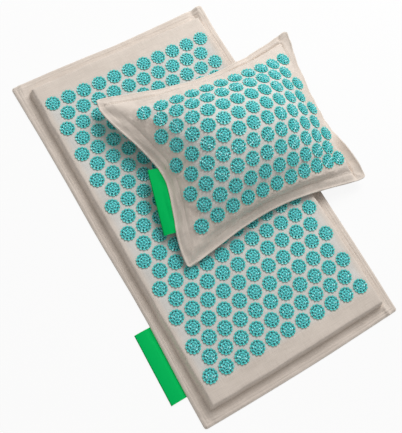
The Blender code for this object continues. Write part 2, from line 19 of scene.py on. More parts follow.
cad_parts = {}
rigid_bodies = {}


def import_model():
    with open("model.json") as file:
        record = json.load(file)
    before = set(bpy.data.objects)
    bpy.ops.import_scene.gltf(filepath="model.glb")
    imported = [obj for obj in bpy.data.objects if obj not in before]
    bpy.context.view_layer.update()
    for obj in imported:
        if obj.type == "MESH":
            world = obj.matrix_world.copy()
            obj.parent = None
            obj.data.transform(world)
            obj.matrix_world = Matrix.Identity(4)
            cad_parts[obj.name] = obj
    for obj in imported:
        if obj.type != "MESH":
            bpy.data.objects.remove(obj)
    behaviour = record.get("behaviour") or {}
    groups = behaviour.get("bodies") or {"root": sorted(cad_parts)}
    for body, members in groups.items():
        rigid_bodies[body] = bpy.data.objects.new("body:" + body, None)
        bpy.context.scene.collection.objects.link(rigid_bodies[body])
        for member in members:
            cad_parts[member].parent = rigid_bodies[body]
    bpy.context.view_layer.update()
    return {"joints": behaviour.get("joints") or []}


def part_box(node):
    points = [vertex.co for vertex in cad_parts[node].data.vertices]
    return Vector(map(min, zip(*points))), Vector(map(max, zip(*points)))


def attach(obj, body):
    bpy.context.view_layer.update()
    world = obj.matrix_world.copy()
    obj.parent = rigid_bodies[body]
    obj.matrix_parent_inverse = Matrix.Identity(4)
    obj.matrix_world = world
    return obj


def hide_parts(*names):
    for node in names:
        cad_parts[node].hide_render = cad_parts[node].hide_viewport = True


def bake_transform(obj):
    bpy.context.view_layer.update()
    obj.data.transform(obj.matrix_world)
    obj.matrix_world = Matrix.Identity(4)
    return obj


for leftover in list(bpy.data.objects):
    bpy.data.objects.remove(leftover)
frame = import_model()

Array = np.ndarray
Pair = tuple[float, float]
Triple = tuple[float, float, float]
Colour = Triple
Keys = tuple[Pair, ...]

LOG = logging.getLogger("mat_set")
CLOTH_MAP = "cloth"
LOCAL_PLACE = "local_place"
CLOTH_FRAMES = 24
HOLD_LEVELS = 10


class Body(Enum):
    """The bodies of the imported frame."""

    MAT = "mat"
    MAT_LABEL = "mat_label"
    MAT_SLIDER = "mat_zip_slider"
    MAT_PULL = "mat_zip_pull"
    PILLOW = "pillow"
    PILLOW_LABEL = "pillow_label"
    PILLOW_SLIDER = "pillow_zip_slider"
    PILLOW_PULL = "pillow_zip_pull"


class Slot(Enum):
    """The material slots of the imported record."""

    LINEN = "linen"
    LOTUS = "lotus_plastic"
    RIBBON = "ribbon"
    COIR = "coir"
    HULLS = "hulls"
    TAPE = "zip_tape"
    TEETH = "zip_teeth"
    METAL = "zip_metal"


class Wire:
    """A number in a shader, on which Python's operators add Math nodes."""

    def __init__(self, paint: Paint, socket: NodeSocket) -> None:
        """Keep the socket that carries the number."""
        self.paint = paint
        self.socket = socket

    def math(self, operation: str, *others: Wire | float, first: bool = True) -> Wire:
        """Add one Math node.

        Args:
            operation: The node's operation.
            others: The other numbers that it takes.
            first: Whether this number comes before the others.

        Returns:
            The node's result.
        """
        values = [self, *others] if first else [*others, self]
        node = self.paint.node("ShaderNodeMath", {"operation": operation}, dict(enumerate(values)))
        return Wire(self.paint, node.outputs[0])

    @staticmethod
    def _operator(operation: str, first: bool = True) -> Callable[[Wire, Wire | float], Wire]:
        """Return a method that adds one Math node of a given operation."""
        return lambda wire, other: wire.math(operation, other, first=first)

    __add__ = __radd__ = _operator("ADD")
    __sub__, __rsub__ = _operator("SUBTRACT"), _operator("SUBTRACT", first=False)
    __mul__ = __rmul__ = _operator("MULTIPLY")
    __pow__ = _operator("POWER")

    def sine(self) -> Wire:
        """Return the sine."""
        return self.math("SINE")

    def size(self) -> Wire:
        """Return the absolute value."""
        return self.math("ABSOLUTE")

    def rise(self, low: float, high: float) -> Wire:
        """Return a smooth step from 0 at low to 1 at high."""
        settings = {"interpolation_type": "SMOOTHSTEP"}
        sockets = {"Value": self, "From Min": low, "From Max": high}
        return Wire(self.paint, self.paint.node("ShaderNodeMapRange", settings, sockets).outputs[0])


class Paint:
    """A material, or the world's surroundings, under construction."""

    def __init__(self, name: str, world: bool = False) -> None:
        """Start a material with its Principled shader, or a world with its background.

        Args:
            name: Its name.
            world: Whether it is a world.
        """
        self.material = (bpy.data.worlds if world else bpy.data.materials).new(name)
        self.material.use_nodes = True
        self.tree = self.material.node_tree
        self.shader = self.tree.nodes["Background" if world else "Principled BSDF"]

    def node(self, kind: str, settings: dict | None = None, sockets: dict | None = None) -> Node:
        """Add a node.

        Args:
            kind: The node's type.
            settings: Its properties, set first.
            sockets: Values or links by the input's name or number.

        Returns:
            The node.
        """
        made = self.tree.nodes.new(kind)
        for name, value in (settings or {}).items():
            setattr(made, name, value)
        for name, value in (sockets or {}).items():
            self.feed(made.inputs[name], value)
        return made

    def feed(self, socket: NodeSocket, value: object) -> None:
        """Link a source to a socket, or set the socket's value.

        Args:
            socket: The socket that is fed.
            value: A wire or socket, or a plain value.
        """
        source = getattr(value, "socket", value)
        if isinstance(source, NodeSocket):
            self.tree.links.new(source, socket)
        else:
            socket.default_value = source

    def mix(self, share: Wire, first: object, second: object) -> NodeSocket:
        """Mix two colours by a share.

        Args:
            share: 0 gives the first colour and 1 the second.
            first: A colour of three numbers, or a socket.
            second: A colour of three numbers, or a socket.

        Returns:
            The mixed colour's socket.
        """
        colours = [(*c, 1) if isinstance(c, tuple) else c for c in (first, second)]
        node = self.node("ShaderNodeMix", {"data_type": "RGBA"}, {0: share, 6: colours[0], 7: colours[1]})
        return node.outputs[2]

    def split(self, source: NodeSocket) -> tuple[Wire, Wire, Wire]:
        """Return the three numbers of a vector."""
        node = self.node("ShaderNodeSeparateXYZ", None, {0: source})
        return Wire(self, node.outputs[0]), Wire(self, node.outputs[1]), Wire(self, node.outputs[2])

    def cloth_place(self) -> NodeSocket:
        """Return the place on the flat cloth, in metres."""
        return self.node("ShaderNodeUVMap", {"uv_map": CLOTH_MAP}).outputs[0]

    def object_place(self) -> NodeSocket:
        """Return the place in the object's own coordinates, in metres."""
        return self.node("ShaderNodeTexCoord").outputs["Object"]

    def noise(self, place: NodeSocket, per_metre: Sequence[float], detail: float = 2) -> Wire:
        """Return noise from 0 to 1 over a place.

        Args:
            place: The coordinates, in metres.
            per_metre: How many cells it has in a metre, along X, Y and Z.
            detail: How many finer layers it has.

        Returns:
            The noise.
        """
        scaled = self.node("ShaderNodeVectorMath", {"operation": "MULTIPLY"}, {0: place, 1: tuple(per_metre)})
        sockets = {"Vector": scaled.outputs[0], "Scale": 1, "Detail": detail}
        return Wire(self, self.node("ShaderNodeTexNoise", None, sockets).outputs[0])

    def bump(self, height: Wire, depth: float, strength: float) -> None:
        """Raise the surface by a height.

        Args:
            height: The height, from 0 to 1.
            depth: How high 1 is, in metres.
            strength: The bump's strength.
        """
        sockets = {"Strength": strength, "Distance": depth, "Height": height}
        self.feed(self.shader.inputs["Normal"], self.node("ShaderNodeBump", None, sockets).outputs[0])

    def shade(self, **values: object) -> Material:
        """Set or feed the shader's sockets, and finish.

        Args:
            values: Numbers, colours or wires by the sockets' names, in lower case with underscores.

        Returns:
            The material.
        """
        for name, value in values.items():
            title = name.replace("_", " ").title().replace("Ior", "IOR")
            self.feed(self.shader.inputs[title], value)
        return self.material


@dataclass(frozen=True)
class Linen:
    """Undyed linen in a plain weave with slubs, cooler amid the discs, with a painted highlight along its
    edge.
    """

    name: str
    edge: Pair
    margin: Pair = (1, 1)
    light: Colour = (0.795, 0.705, 0.630)
    dark: Colour = (0.610, 0.535, 0.470)
    light_amid: Colour = (0.766, 0.748, 0.720)
    dark_amid: Colour = (0.586, 0.565, 0.535)
    # pale is the colour of the painted highlight along the edge.
    pale: Colour = (0.880, 0.800, 0.720)
    thread: float = 0.00075
    long_cells: float = 28
    fine_cells: float = 900
    cloud_cells: float = 14

    def material(self) -> Material:
        """Build the finish.

        Returns:
            The material.
        """
        paint = Paint(self.name)
        place = paint.cloth_place()
        across, along, _ = paint.split(place)
        turn = math.pi / self.thread
        weave = (across * turn).sine() * (along * turn).sine() * 0.5 + 0.5
        warp = paint.noise(place, (self.fine_cells, self.long_cells, 1), 3)
        weft = paint.noise(place, (self.long_cells, self.fine_cells, 1), 3)
        cloud = paint.noise(place, (self.cloud_cells, self.cloud_cells, 1), 3)
        slub = (warp + weft) * 0.5
        tone = (slub - 0.5) * 1.6 + (weave - 0.5) * 0.35 + (cloud - 0.5) * 0.9 + 0.55
        sides = (across.size() - self.edge[0], along.size() - self.edge[1])
        outside = sides[0].math("MAXIMUM", sides[1])
        field_sides = [side + margin for side, margin in zip(sides, self.margin)]
        outer = field_sides[0].math("MAXIMUM", field_sides[1]).rise(-0.012, 0.004)
        tone = tone.rise(0, 1)
        amid = paint.mix(tone, self.dark_amid, self.light_amid)
        cloth = paint.mix(outer, amid, paint.mix(tone, self.dark, self.light))
        # Painted highlight: a paler band 0.8 to 2.8 mm in from the edge, where the rolled edge catches the
        # light.
        colour = paint.mix(outside.rise(-0.0028, -0.0008) * 0.7, cloth, self.pale)
        paint.bump(weave * 0.6 + slub, 0.0004, 0.45)
        return paint.shade(base_color=colour, roughness=0.88, sheen_weight=0.12, sheen_roughness=0.5)


@dataclass(frozen=True)
class Grained:
    """A finish of one grain that mottles its colour: sewing thread, nylon or plated metal."""

    name: str
    light: Colour
    dark: Colour
    cells: Triple
    depth: float
    strength: float
    roughness: float
    detail: float = 2
    wear: float = 0.0
    metallic: float = 0.0

    def material(self) -> Material:
        """Build the finish.

        Returns:
            The material.
        """
        paint = Paint(self.name)
        grain = paint.noise(paint.object_place(), self.cells, self.detail)
        colour = paint.mix(grain, self.dark, self.light)
        roughness = grain * self.wear + self.roughness if self.wear else self.roughness
        paint.bump(grain, self.depth, self.strength)
        return paint.shade(base_color=colour, roughness=roughness, metallic=self.metallic)


THREAD = Grained("sewing_thread", (0.640, 0.570, 0.480), (0.470, 0.405, 0.335), (2600, 2600, 2600),
                 depth=0.0001, strength=0.4, roughness=0.8)
TEETH = Grained("zip_teeth", (0.520, 0.470, 0.395), (0.380, 0.335, 0.275), (700, 700, 700),
                depth=0.00005, strength=0.3, roughness=0.42)
METAL = Grained("zip_metal", (0.640, 0.630, 0.605), (0.420, 0.405, 0.380), (260, 1400, 260),
                depth=0.00003, strength=0.3, roughness=0.2, detail=3, wear=0.3, metallic=1.0)


@dataclass(frozen=True)
class Tier:
    """One ring of petals: how many, their corners, tips and valleys, and its foot and hollow."""

    petals: int
    corners: int
    tip_radius: float
    valley_radius: float
    foot_radius: float
    foot: float
    tip: float
    valley: float
    hollow: float
    turn: float = 0.0


@dataclass(frozen=True)
class LotusSizes:
    """The sizes of a moulded lotus disc."""

    radius: float = 0.0141
    height: float = 0.0047
    tiers: tuple[Tier, ...] = (
        Tier(12, 3, 0.0142, 0.0130, 0.0131, 0.0, 0.0026, 0.0012, 0.0009),
        Tier(8, 2, 0.0102, 0.0078, 0.0076, 0.0003, 0.0038, 0.0020, 0.0020, math.radians(11)),
        Tier(5, 2, 0.0058, 0.0038, 0.0036, 0.0010, 0.0047, 0.0030, 0.0034, math.radians(31)),
    )
    bud_radius: float = 0.0019


@dataclass(frozen=True)
class LotusPlastic:
    """Glossy turquoise plastic, with painted light and shade in its colour: painted highlights on the petals'
    tips and painted shade in the gaps between them.
    """

    sizes: LotusSizes = LotusSizes()
    # inner and outer are the lit colours, lighter and bluer in the middle as a painted reflection; deep is
    # the painted shade.
    inner: Colour = (0.170, 0.985, 0.990)
    outer: Colour = (0.085, 0.790, 0.740)
    deep: Colour = (0.0, 0.052, 0.058)

    def material(self) -> Material:
        """Build the finish.

        Returns:
            The material.
        """
        paint = Paint("lotus_plastic")
        place = paint.node("ShaderNodeAttribute", {"attribute_name": LOCAL_PLACE}).outputs["Vector"]
        x, y, _ = paint.split(place)
        reach = (x * x + y * y) ** 0.5
        around = y.math("ARCTAN2", x)
        # Painted light and shade: each tier's petals are lit at their tips and shaded in their gaps.
        tone = self._petals(self.sizes.tiers[0], reach, around)[0]
        for tier in self.sizes.tiers[1:]:
            petals, inside = self._petals(tier, reach, around)
            # Painted shadow: a darker ring just outside each inner tier's rim, on the tier below it.
            shadow = inside.rise(-0.10, 0.0)
            tone = tone * (1 - shadow * 0.35)
            cover = inside.rise(-0.01, 0.01)
            tone = tone * (1 - cover) + petals * cover
        # Painted highlight lifting the middle, and painted shade darkening the outer rim.
        tone = tone + (1 - reach.rise(0.05, 0.30)) * 0.12 - reach.rise(0.84, 0.97) * 0.50 + 0.10
        light = paint.mix(reach.rise(0.60, 0.95), self.inner, self.outer)
        # deep, the painted shade, fills wherever the tone is low.
        colour = paint.mix(tone.rise(0.10, 0.90), self.deep, light)
        return paint.shade(base_color=colour, roughness=0.15, specular_ior_level=0.36)

    def _petals(self, tier: Tier, reach: Wire, around: Wire) -> tuple[Wire, Wire]:
        """Paint one ring of petals in painted light and shade.

        Args:
            tier: The ring.
            reach: The distance from the disc's middle, as a share of its radius.
            around: The angle round it.

        Returns:
            The ring's painted light and shade, a painted highlight at each tip and painted shade in each gap,
            and how far inside its rim a place is.
        """
        middle = (tier.tip_radius + tier.valley_radius) / 2 / self.sizes.radius
        swing = (tier.tip_radius - tier.valley_radius) / 2 / self.sizes.radius
        bloom = ((around - tier.turn) * tier.petals - math.pi / 2).sine()
        inside = bloom * swing + middle - reach
        # Painted highlight just inside each petal's tip, and painted shade in the gaps between petals.
        tip = 1 - inside.rise(0.02, 0.20)
        gap = 1 - bloom.rise(-0.95, -0.30)
        return tip * 0.80 + 0.32 - gap * 0.62, inside


@dataclass(frozen=True)
class RibbonCloth:
    """Green woven ribbon with a fine rib, and painted shade along its folded outer edge."""

    width: float
    colour: Colour = (0.0, 0.555, 0.120)
    # edge is the colour of the painted shade along the folded outer edge.
    edge: Colour = (0.0, 0.215, 0.045)
    rib: float = 0.0009
    painted_shade_band: float = 0.0022

    def material(self) -> Material:
        """Build the finish.

        Returns:
            The material.
        """
        paint = Paint("ribbon")
        place = paint.cloth_place()
        across, along, _ = paint.split(place)
        ribs = (along * (math.tau / self.rib)).sine() * 0.5 + 0.5
        floats = (across * (math.tau / self.rib / 2)).sine() * 0.5 + 0.5
        # Painted shade: a dark band along the ribbon's free, folded outer edge.
        painted_shade_band = (across * -1).rise(self.width - self.painted_shade_band, self.width - self.painted_shade_band / 3)
        fibre = paint.noise(place, (1200, 260, 1), 2)
        tone = painted_shade_band * 0.8 + (1 - ribs) * 0.16 + (fibre - 0.5) * 0.35
        colour = paint.mix(tone.rise(0, 1), self.colour, self.edge)
        paint.bump(ribs * 0.7 + floats * 0.3, 0.00015, 0.4)
        return paint.shade(base_color=colour, roughness=0.6, specular_ior_level=0.05)


@dataclass(frozen=True)
class Fibre:
    """A loose natural filling: long fibres or small hulls."""

    name: str
    light: Colour
    dark: Colour
    cells: Triple

    def material(self) -> Material:
        """Build the finish.

        Returns:
            The material.
        """
        paint = Paint(self.name)
        place = paint.object_place()
        strands = paint.noise(place, self.cells, 4)
        crossing = paint.noise(place, (self.cells[1], self.cells[0], self.cells[2]), 4)
        tone = (strands + crossing - 1) * 2.4 + 0.5
        colour = paint.mix(tone.rise(0, 1), self.dark, self.light)
        paint.bump(strands * crossing, 0.002, 0.8)
        return paint.shade(base_color=colour, roughness=0.92)


@dataclass(frozen=True)
class TapeCloth:
    """Woven zip tape with a herringbone."""

    light: Colour = (0.560, 0.500, 0.420)
    dark: Colour = (0.400, 0.350, 0.290)
    rib: float = 0.0007

    def material(self) -> Material:
        """Build the finish.

        Returns:
            The material.
        """
        paint = Paint("zip_tape")
        across, along, _ = paint.split(paint.cloth_place())
        bone = ((across.size() + along) * (math.tau / self.rib)).sine() * 0.5 + 0.5
        colour = paint.mix(bone, self.dark, self.light)
        paint.bump(bone, 0.0001, 0.5)
        return paint.shade(base_color=colour, roughness=0.85)


def activate(*objects: Object) -> None:
    """Select only these objects, the last of them active."""
    bpy.ops.object.select_all(action="DESELECT")
    for thing in objects:
        thing.select_set(True)
    bpy.context.view_layer.objects.active = objects[-1]


@contextmanager
def editing(thing: Object, mode: str = "VERT") -> Iterator[None]:
    """Work on an object in edit mode, starting with nothing selected.

    Args:
        thing: The object.
        mode: What is selected: "VERT", "EDGE" or "FACE".

    Yields:
        Nothing, once the object is in edit mode.
    """
    activate(thing)
    bpy.ops.object.mode_set(mode="EDIT")
    bpy.ops.mesh.select_mode(type=mode)
    bpy.ops.mesh.select_all(action="DESELECT")
    yield
    bpy.ops.object.mode_set(mode="OBJECT")


def pick(thing: Object, kind: str, test: Callable[[Vector], bool]) -> None:
    """Select vertices, edges or faces by the place of their middle, in edit mode.

    Args:
        thing: The object in edit mode.
        kind: "vertices", "edges" or "polygons".
        test: Says of a middle whether it is picked.
    """
    mode = {"vertices": "VERT", "edges": "EDGE", "polygons": "FACE"}[kind]
    bpy.ops.mesh.select_mode(type=mode)
    bpy.ops.mesh.select_all(action="DESELECT")
    bpy.ops.object.mode_set(mode="OBJECT")
    points = thing.data.vertices
    for part in getattr(thing.data, kind):
        corners = [part.index] if kind == "vertices" else list(part.vertices)
        middle = sum((points[c].co for c in corners), Vector()) / len(corners)
        part.select = test(middle)
    bpy.ops.object.mode_set(mode="EDIT")


def add_object(name: str, data: bpy.types.ID) -> Object:
    """Add an object that holds some data to the scene."""
    made = bpy.data.objects.new(name, data)
    bpy.context.scene.collection.objects.link(made)
    return made


def joint_of(name: str) -> dict:
    """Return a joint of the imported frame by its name."""
    return next(joint for joint in frame["joints"] if joint["name"] == name)


def stand(place: Vector, along: Vector, up: Vector) -> Matrix:
    """Return the frame at a place whose X lies along one direction and whose Z points up another.

    Args:
        place: Its origin.
        along: Its X.
        up: Its Z, at right angles to its X.

    Returns:
        The frame.
    """
    return Matrix.Translation(place) @ Matrix((along, up.cross(along), up)).transposed().to_4x4()


def combine(thing: Object, tool: Object, operation: str = "DIFFERENCE") -> None:
    """Cut a tool out of an object, or join it to the object, and remove the tool.

    Args:
        thing: The object.
        tool: The tool.
        operation: The modifier's operation.
    """
    step = thing.modifiers.new(tool.name, "BOOLEAN")
    step.operation = operation
    step.solver = "EXACT"
    step.object = tool
    settle_modifiers(thing)
    bpy.data.objects.remove(tool)


def settle_modifiers(thing: Object) -> None:
    """Apply every modifier of an object."""
    activate(thing)
    for step in list(thing.modifiers):
        bpy.ops.object.modifier_apply(modifier=step.name)


def place_mesh(thing: Object) -> None:
    """Put an object at the origin, with its place in its mesh."""
    activate(thing)
    bpy.ops.object.transform_apply(location=True, rotation=True, scale=True)


def join(name: str, parts: Sequence[Object]) -> Object:
    """Join objects into one.

    Args:
        name: The joined object's name.
        parts: The objects.

    Returns:
        The joined object.
    """
    activate(*parts)
    if len(parts) > 1:
        bpy.ops.object.join()
    made = bpy.context.view_layer.objects.active
    made.name = made.data.name = name
    return made


def points_of(thing: Object) -> Array:
    """Return an object's points as rows of three numbers."""
    points = np.zeros(len(thing.data.vertices) * 3, np.float32)
    thing.data.vertices.foreach_get("co", points)
    return points.reshape(-1, 3).astype(float)


def move_points(thing: Object, points: Array) -> None:
    """Move an object's points."""
    thing.data.vertices.foreach_set("co", points.astype(np.float32).ravel())
    thing.data.update()


def smooth(thing: Object, degrees: float = 40) -> None:
    """Shade an object smooth, with sharp edges past an angle."""
    activate(thing)
    bpy.ops.object.shade_smooth_by_angle(angle=math.radians(degrees))


def thicken(thing: Object, thickness: float, offset: float = -1) -> None:
    """Give a sheet its thickness.

    Args:
        thing: The sheet.
        thickness: How thick it becomes.
        offset: -1 thickens behind the faces, 1 before them.
    """
    step = thing.modifiers.new("thickness", "SOLIDIFY")
    step.thickness = thickness
    step.offset = offset
    step.use_even_offset = False
    settle_modifiers(thing)


def lines_from_edge(half: float, steps: Keys) -> Array:
    """Return a sheet's grid lines between its edges, closer together near them.

    Args:
        half: Half the sheet's size.
        steps: Pairs of a distance from the edge and the spacing up to it.

    Returns:
        The lines' places, from -half to half.
    """
    distances = [0.0]
    for reach, spacing in steps:
        stretch = min(reach, half) - distances[-1]
        count = max(1, round(stretch / spacing))
        distances += [distances[-1] + stretch * (n + 1) / count for n in range(count)]
    side = half - np.array(distances)
    return np.concatenate([-side[:-1], [0.0], side[:-1][::-1]])


def sheet_grid(name: str, lines_x: Array, lines_y: Array) -> tuple[Object, Array]:
    """Add a flat sheet on given grid lines, with a map of each point's place on it.

    Args:
        name: The sheet's name.
        lines_x: The places of its lines across.
        lines_y: The places of its lines along.

    Returns:
        The sheet and the flat place of each of its points.
    """
    columns, rows = len(lines_x) - 1, len(lines_y) - 1
    bpy.ops.mesh.primitive_grid_add(x_subdivisions=columns, y_subdivisions=rows, size=2, calc_uvs=False)
    sheet = bpy.context.active_object
    sheet.name = sheet.data.name = name
    unit = points_of(sheet)
    column = np.rint((unit[:, 0] + 1) / 2 * columns).astype(int)
    row = np.rint((unit[:, 1] + 1) / 2 * rows).astype(int)
    flat = np.stack([lines_x[column], lines_y[row]], 1)
    corners = np.zeros(len(sheet.data.loops), np.int32)
    sheet.data.loops.foreach_get("vertex_index", corners)
    layer = sheet.data.uv_layers.new(name=CLOTH_MAP)
    layer.data.foreach_set("uv", flat[corners].astype(np.float32).ravel())
    return sheet, flat


def edged_grid(name: str, halves: Sequence[float], steps: Keys) -> tuple[Object, Array]:
    """Add a flat sheet whose grid lines are closer together near its edges.

    Args:
        name: The sheet's name.
        halves: Half its width and half its length.
        steps: Pairs of a distance from the edge and the spacing up to it.

    Returns:
        The sheet and the flat place of each of its points.
    """
    return sheet_grid(name, *(lines_from_edge(half, steps) for half in halves))


def spread(name: str, source: Object, places: Sequence[Matrix], scale: Vector) -> Object:
    """Copy a small shape to many places, as one object with its own mesh.

    Args:
        name: The object's name.
        source: The shape, which stays as it is.
        places: Where the copies go.
        scale: The size that the shape's own coordinates are kept in, as shares of it.

    Returns:
        The object.
    """
    shape = points_of(source)
    faces = [tuple(face.vertices) for face in source.data.polygons]
    turned = [shape @ np.array(place.to_3x3()).T + np.array(place.translation) for place in places]
    mesh = bpy.data.meshes.new(name)
    starts = range(0, len(places) * len(shape), len(shape))
    mesh.from_pydata(np.concatenate(turned).tolist(), [],
                     [tuple(start + corner for corner in face) for start in starts for face in faces])
    kept = mesh.attributes.new(LOCAL_PLACE, "FLOAT_VECTOR", "POINT")
    local = np.tile(shape / np.array(scale), (len(places), 1))
    kept.data.foreach_set("vector", local.astype(np.float32).ravel())
    return add_object(name, mesh)


def wave(values: Array, per_metre: float, seed: float) -> Array:
    """Return smooth noise from -1 to 1 along a line, always the same for the same seed."""
    return np.array([noise.noise(Vector((value, seed, seed))) for value in values * per_metre])


def ramp(values: Array, low: float, high: float) -> Array:
    """Return a smooth step from 0 at low to 1 at high."""
    share = np.clip((values - low) / (high - low), 0, 1)
    return share * share * (3 - 2 * share)


def bell(values: Array, width: float, middle: float | Array = 0.0) -> Array:
    """Return a hump that is 1 at its middle and dies away over a width to both sides."""
    return np.exp(-((values - middle) / width) ** 2)


@dataclass(frozen=True)
class Ripple:
    """Smooth unevenness, always the same: how many waves a metre has, its seed and its height."""

    per_metre: float
    seed: float
    height: float

    def over(self, x: Array, y: Array) -> Array:
        """Return its heights over a plane."""
        places = zip(x * self.per_metre, y * self.per_metre)
        return np.array([noise.noise(Vector((a, b, self.seed))) for a, b in places]) * self.height


def rounded_profile(values: Array, keys: Keys, blur: float) -> Array:
    """Read a profile given by a few points, with its corners rounded.

    Args:
        values: Where it is read.
        keys: The profile's points.
        blur: How far its corners are rounded to each side.

    Returns:
        The profile's heights.
    """
    places, heights = zip(*keys)
    offsets = np.linspace(-blur, blur, 5)
    return sum(np.interp(values + offset, places, heights) for offset in offsets) / len(offsets)


def round_corners(flat: Array, half: Array, radius: float) -> Array:
    """Draw a rectangle's corners in to a radius.

    Args:
        flat: Places in the rectangle.
        half: Half its width and half its length.
        radius: The radius.

    Returns:
        The places after the corners are rounded.
    """
    near = half - abs(flat)
    into = np.maximum(radius - near, 0)
    inside = (into > 0).all(1)
    share = into.max(1) / np.maximum(np.hypot(*into.T), 1e-9)
    near[inside] = radius - into[inside] * share[inside, None]
    return np.sign(flat) * (half - near)


def nearest_to(points: Array, places: Sequence[Matrix]) -> tuple[Array, Array]:
    """Find the nearest of some places to each point.

    Args:
        points: The points.
        places: The places.

    Returns:
        The nearest places' numbers, and how far they are.
    """
    tree = KDTree(len(places))
    for index, place in enumerate(places):
        tree.insert(place.translation, index)
    tree.balance()
    _, nearest, reach = zip(*(tree.find(point) for point in points))
    return np.array(nearest), np.array(reach)


def press_discs(points: Array, places: Sequence[Matrix], radius: float, puff: float) -> Array:
    """Press cloth flat under the discs on it, and let it bulge round them.

    Args:
        points: The cloth's points.
        places: The discs' places, each with +Z out of the cloth.
        radius: A disc's radius.
        puff: How high the cloth bulges beside a disc.

    Returns:
        The pressed points.
    """
    centres = np.array([place.translation for place in places])
    turns = np.array([np.array(place.to_3x3()) for place in places])
    nearest, _ = nearest_to(points, places)
    turn = turns[nearest]
    local = np.einsum("ni,nij->nj", points - centres[nearest], turn)
    reach = np.hypot(local[:, 0], local[:, 1])
    held = 1 - ramp(reach, 1.08 * radius, 1.25 * radius)
    bulge = ramp(reach, 1.04 * radius, 1.25 * radius) * (1 - ramp(reach, 1.3 * radius, 1.9 * radius))
    move = held * (-0.00012 - local[:, 2]) + puff * bulge
    move[abs(local[:, 2]) > radius] = 0
    return points + move[:, None] * turn[:, :, 2]


def inflate(cloth: Object, held: Array, pressure: float, slack: float, cap: float) -> None:
    """Let cloth swell and wrinkle under the filling's pressure, by a cloth simulation.

    Args:
        cloth: The cloth, in the shape that it starts from.
        held: For each point, how firmly it stays, from 0 to 1.
        pressure: The filling's pressure.
        slack: How much longer the cloth is than its start, as a share.
        cap: How far a point may move, in metres.
    """
    before = points_of(cloth)
    group = cloth.vertex_groups.new(name="held")
    for level in range(HOLD_LEVELS + 1):
        chosen = np.flatnonzero(np.rint(held * HOLD_LEVELS) == level).tolist()
        group.add(chosen, level / HOLD_LEVELS, "REPLACE")
    step = cloth.modifiers.new("filling", "CLOTH")
    rules = step.settings
    rules.vertex_group_mass = group.name
    rules.use_pressure = True
    rules.uniform_pressure_force = pressure
    rules.shrink_min = -slack
    rules.shrink_max = -slack
    rules.effector_weights.gravity = 0
    rules.quality = 5
    rules.mass = 0.25
    rules.tension_stiffness = rules.compression_stiffness = 20
    rules.shear_stiffness = 6
    rules.bending_stiffness = 0.08
    step.collision_settings.use_collision = False
    step.point_cache.frame_end = CLOTH_FRAMES
    for number in range(1, CLOTH_FRAMES + 1):
        bpy.context.scene.frame_set(number)
    settle_modifiers(cloth)
    bpy.context.scene.frame_set(1)
    cloth.vertex_groups.clear()
    move = points_of(cloth) - before
    far = np.linalg.norm(move, axis=1)
    eased = cap * np.tanh(far / cap)
    move_points(cloth, before + move * (eased / np.maximum(far, 1e-9))[:, None])


def dress(piece: Object, finish: Material, slot: Slot, body: Body | None,
          *nodes: str) -> Object:
    """Finish a piece: its material, its body and the nodes that it stands for.

    Args:
        piece: The piece, in place.
        finish: Its material.
        slot: The record's slot that it takes its finish from. Not used.
        body: The body that it rides on, or None, which leaves it unattached.
        nodes: The CAD nodes that it replaces.

    Returns:
        The piece.
    """
    piece.data.materials.clear()
    piece.data.materials.append(finish)
    if body:
        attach(piece, body.value)
    if nodes:
        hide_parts(*nodes)
    LOG.info("%s: %d faces", piece.name, len(piece.data.polygons))
    return piece


@dataclass
class LotusDisc:
    """A moulded lotus disc: three rings of cupped petals round a bud."""

    sizes: LotusSizes = field(default_factory=LotusSizes)

    def model(self) -> Object:
        """Model one disc at the origin, its foot at zero.

        Returns:
            The disc.
        """
        rings = [self._ring(tier) for tier in self.sizes.tiers]
        inner = self.sizes.tiers[-1]
        depth = inner.tip - inner.hollow
        bpy.ops.mesh.primitive_cone_add(vertices=5, radius1=self.sizes.bud_radius, depth=depth,
                                        location=(0, 0, inner.hollow + depth / 2))
        bud = bpy.context.active_object
        place_mesh(bud)
        disc = join("lotus_disc", [*rings, bud])
        smooth(disc, 38)
        return disc

    def _ring(self, tier: Tier) -> Object:
        """Model one ring of petals as a closed rosette with a hollow top.

        Args:
            tier: The ring's sizes.

        Returns:
            The ring.
        """
        count = tier.corners * tier.petals
        bpy.ops.mesh.primitive_circle_add(vertices=count, radius=tier.tip_radius, fill_type="NGON",
                                          location=(0, 0, tier.foot))
        ring = bpy.context.active_object
        place_mesh(ring)
        rise = tier.valley - tier.foot
        waist = tier.foot + rise / 2
        core = tier.foot_radius / 2

        def is_valley(point: Vector) -> bool:
            """Say whether a point is a valley of the upper rim."""
            step = math.atan2(point.x, point.y) / (math.tau / count)
            return point.z > waist and round(step) % tier.corners == 0

        with editing(ring):
            bpy.ops.mesh.select_all(action="SELECT")
            bpy.ops.mesh.extrude_region_move(TRANSFORM_OT_translate={"value": (0, 0, rise)})
            for test, radius, height in ((lambda p: p.z < waist, tier.foot_radius, tier.foot),
                                         (is_valley, tier.valley_radius, tier.valley)):
                pick(ring, "vertices", test)
                narrow = radius / tier.tip_radius
                bpy.ops.transform.resize(value=(narrow, narrow, 1), center_override=(0, 0, height))
            pick(ring, "vertices", lambda p: p.z > waist and not is_valley(p))
            bpy.ops.transform.translate(value=(0, 0, tier.tip - tier.valley))
            lowest = tier.foot + (tier.tip - tier.foot) * 0.45
            pick(ring, "edges", lambda p: lowest < p.z < tier.tip - rise / 8
                 and round(math.atan2(p.x, p.y) / (math.tau / count) * 2) % 2 == 0)
            bpy.ops.mesh.dissolve_edges(use_verts=False)
            pick(ring, "polygons", lambda p: p.z > waist and math.hypot(p.x, p.y) < core)
            bpy.ops.mesh.poke()
            pick(ring, "vertices", lambda p: math.hypot(p.x, p.y) < core)
            poked = tier.valley + (tier.tip - tier.valley) * (1 - 1 / tier.corners)
            bpy.ops.transform.translate(value=(0, 0, tier.hollow - poked))
            bpy.ops.mesh.select_all(action="SELECT")
            bpy.ops.mesh.normals_make_consistent(inside=False)
            bpy.ops.transform.rotate(value=tier.turn, orient_axis="Z", center_override=(0, 0, 0))
        return ring


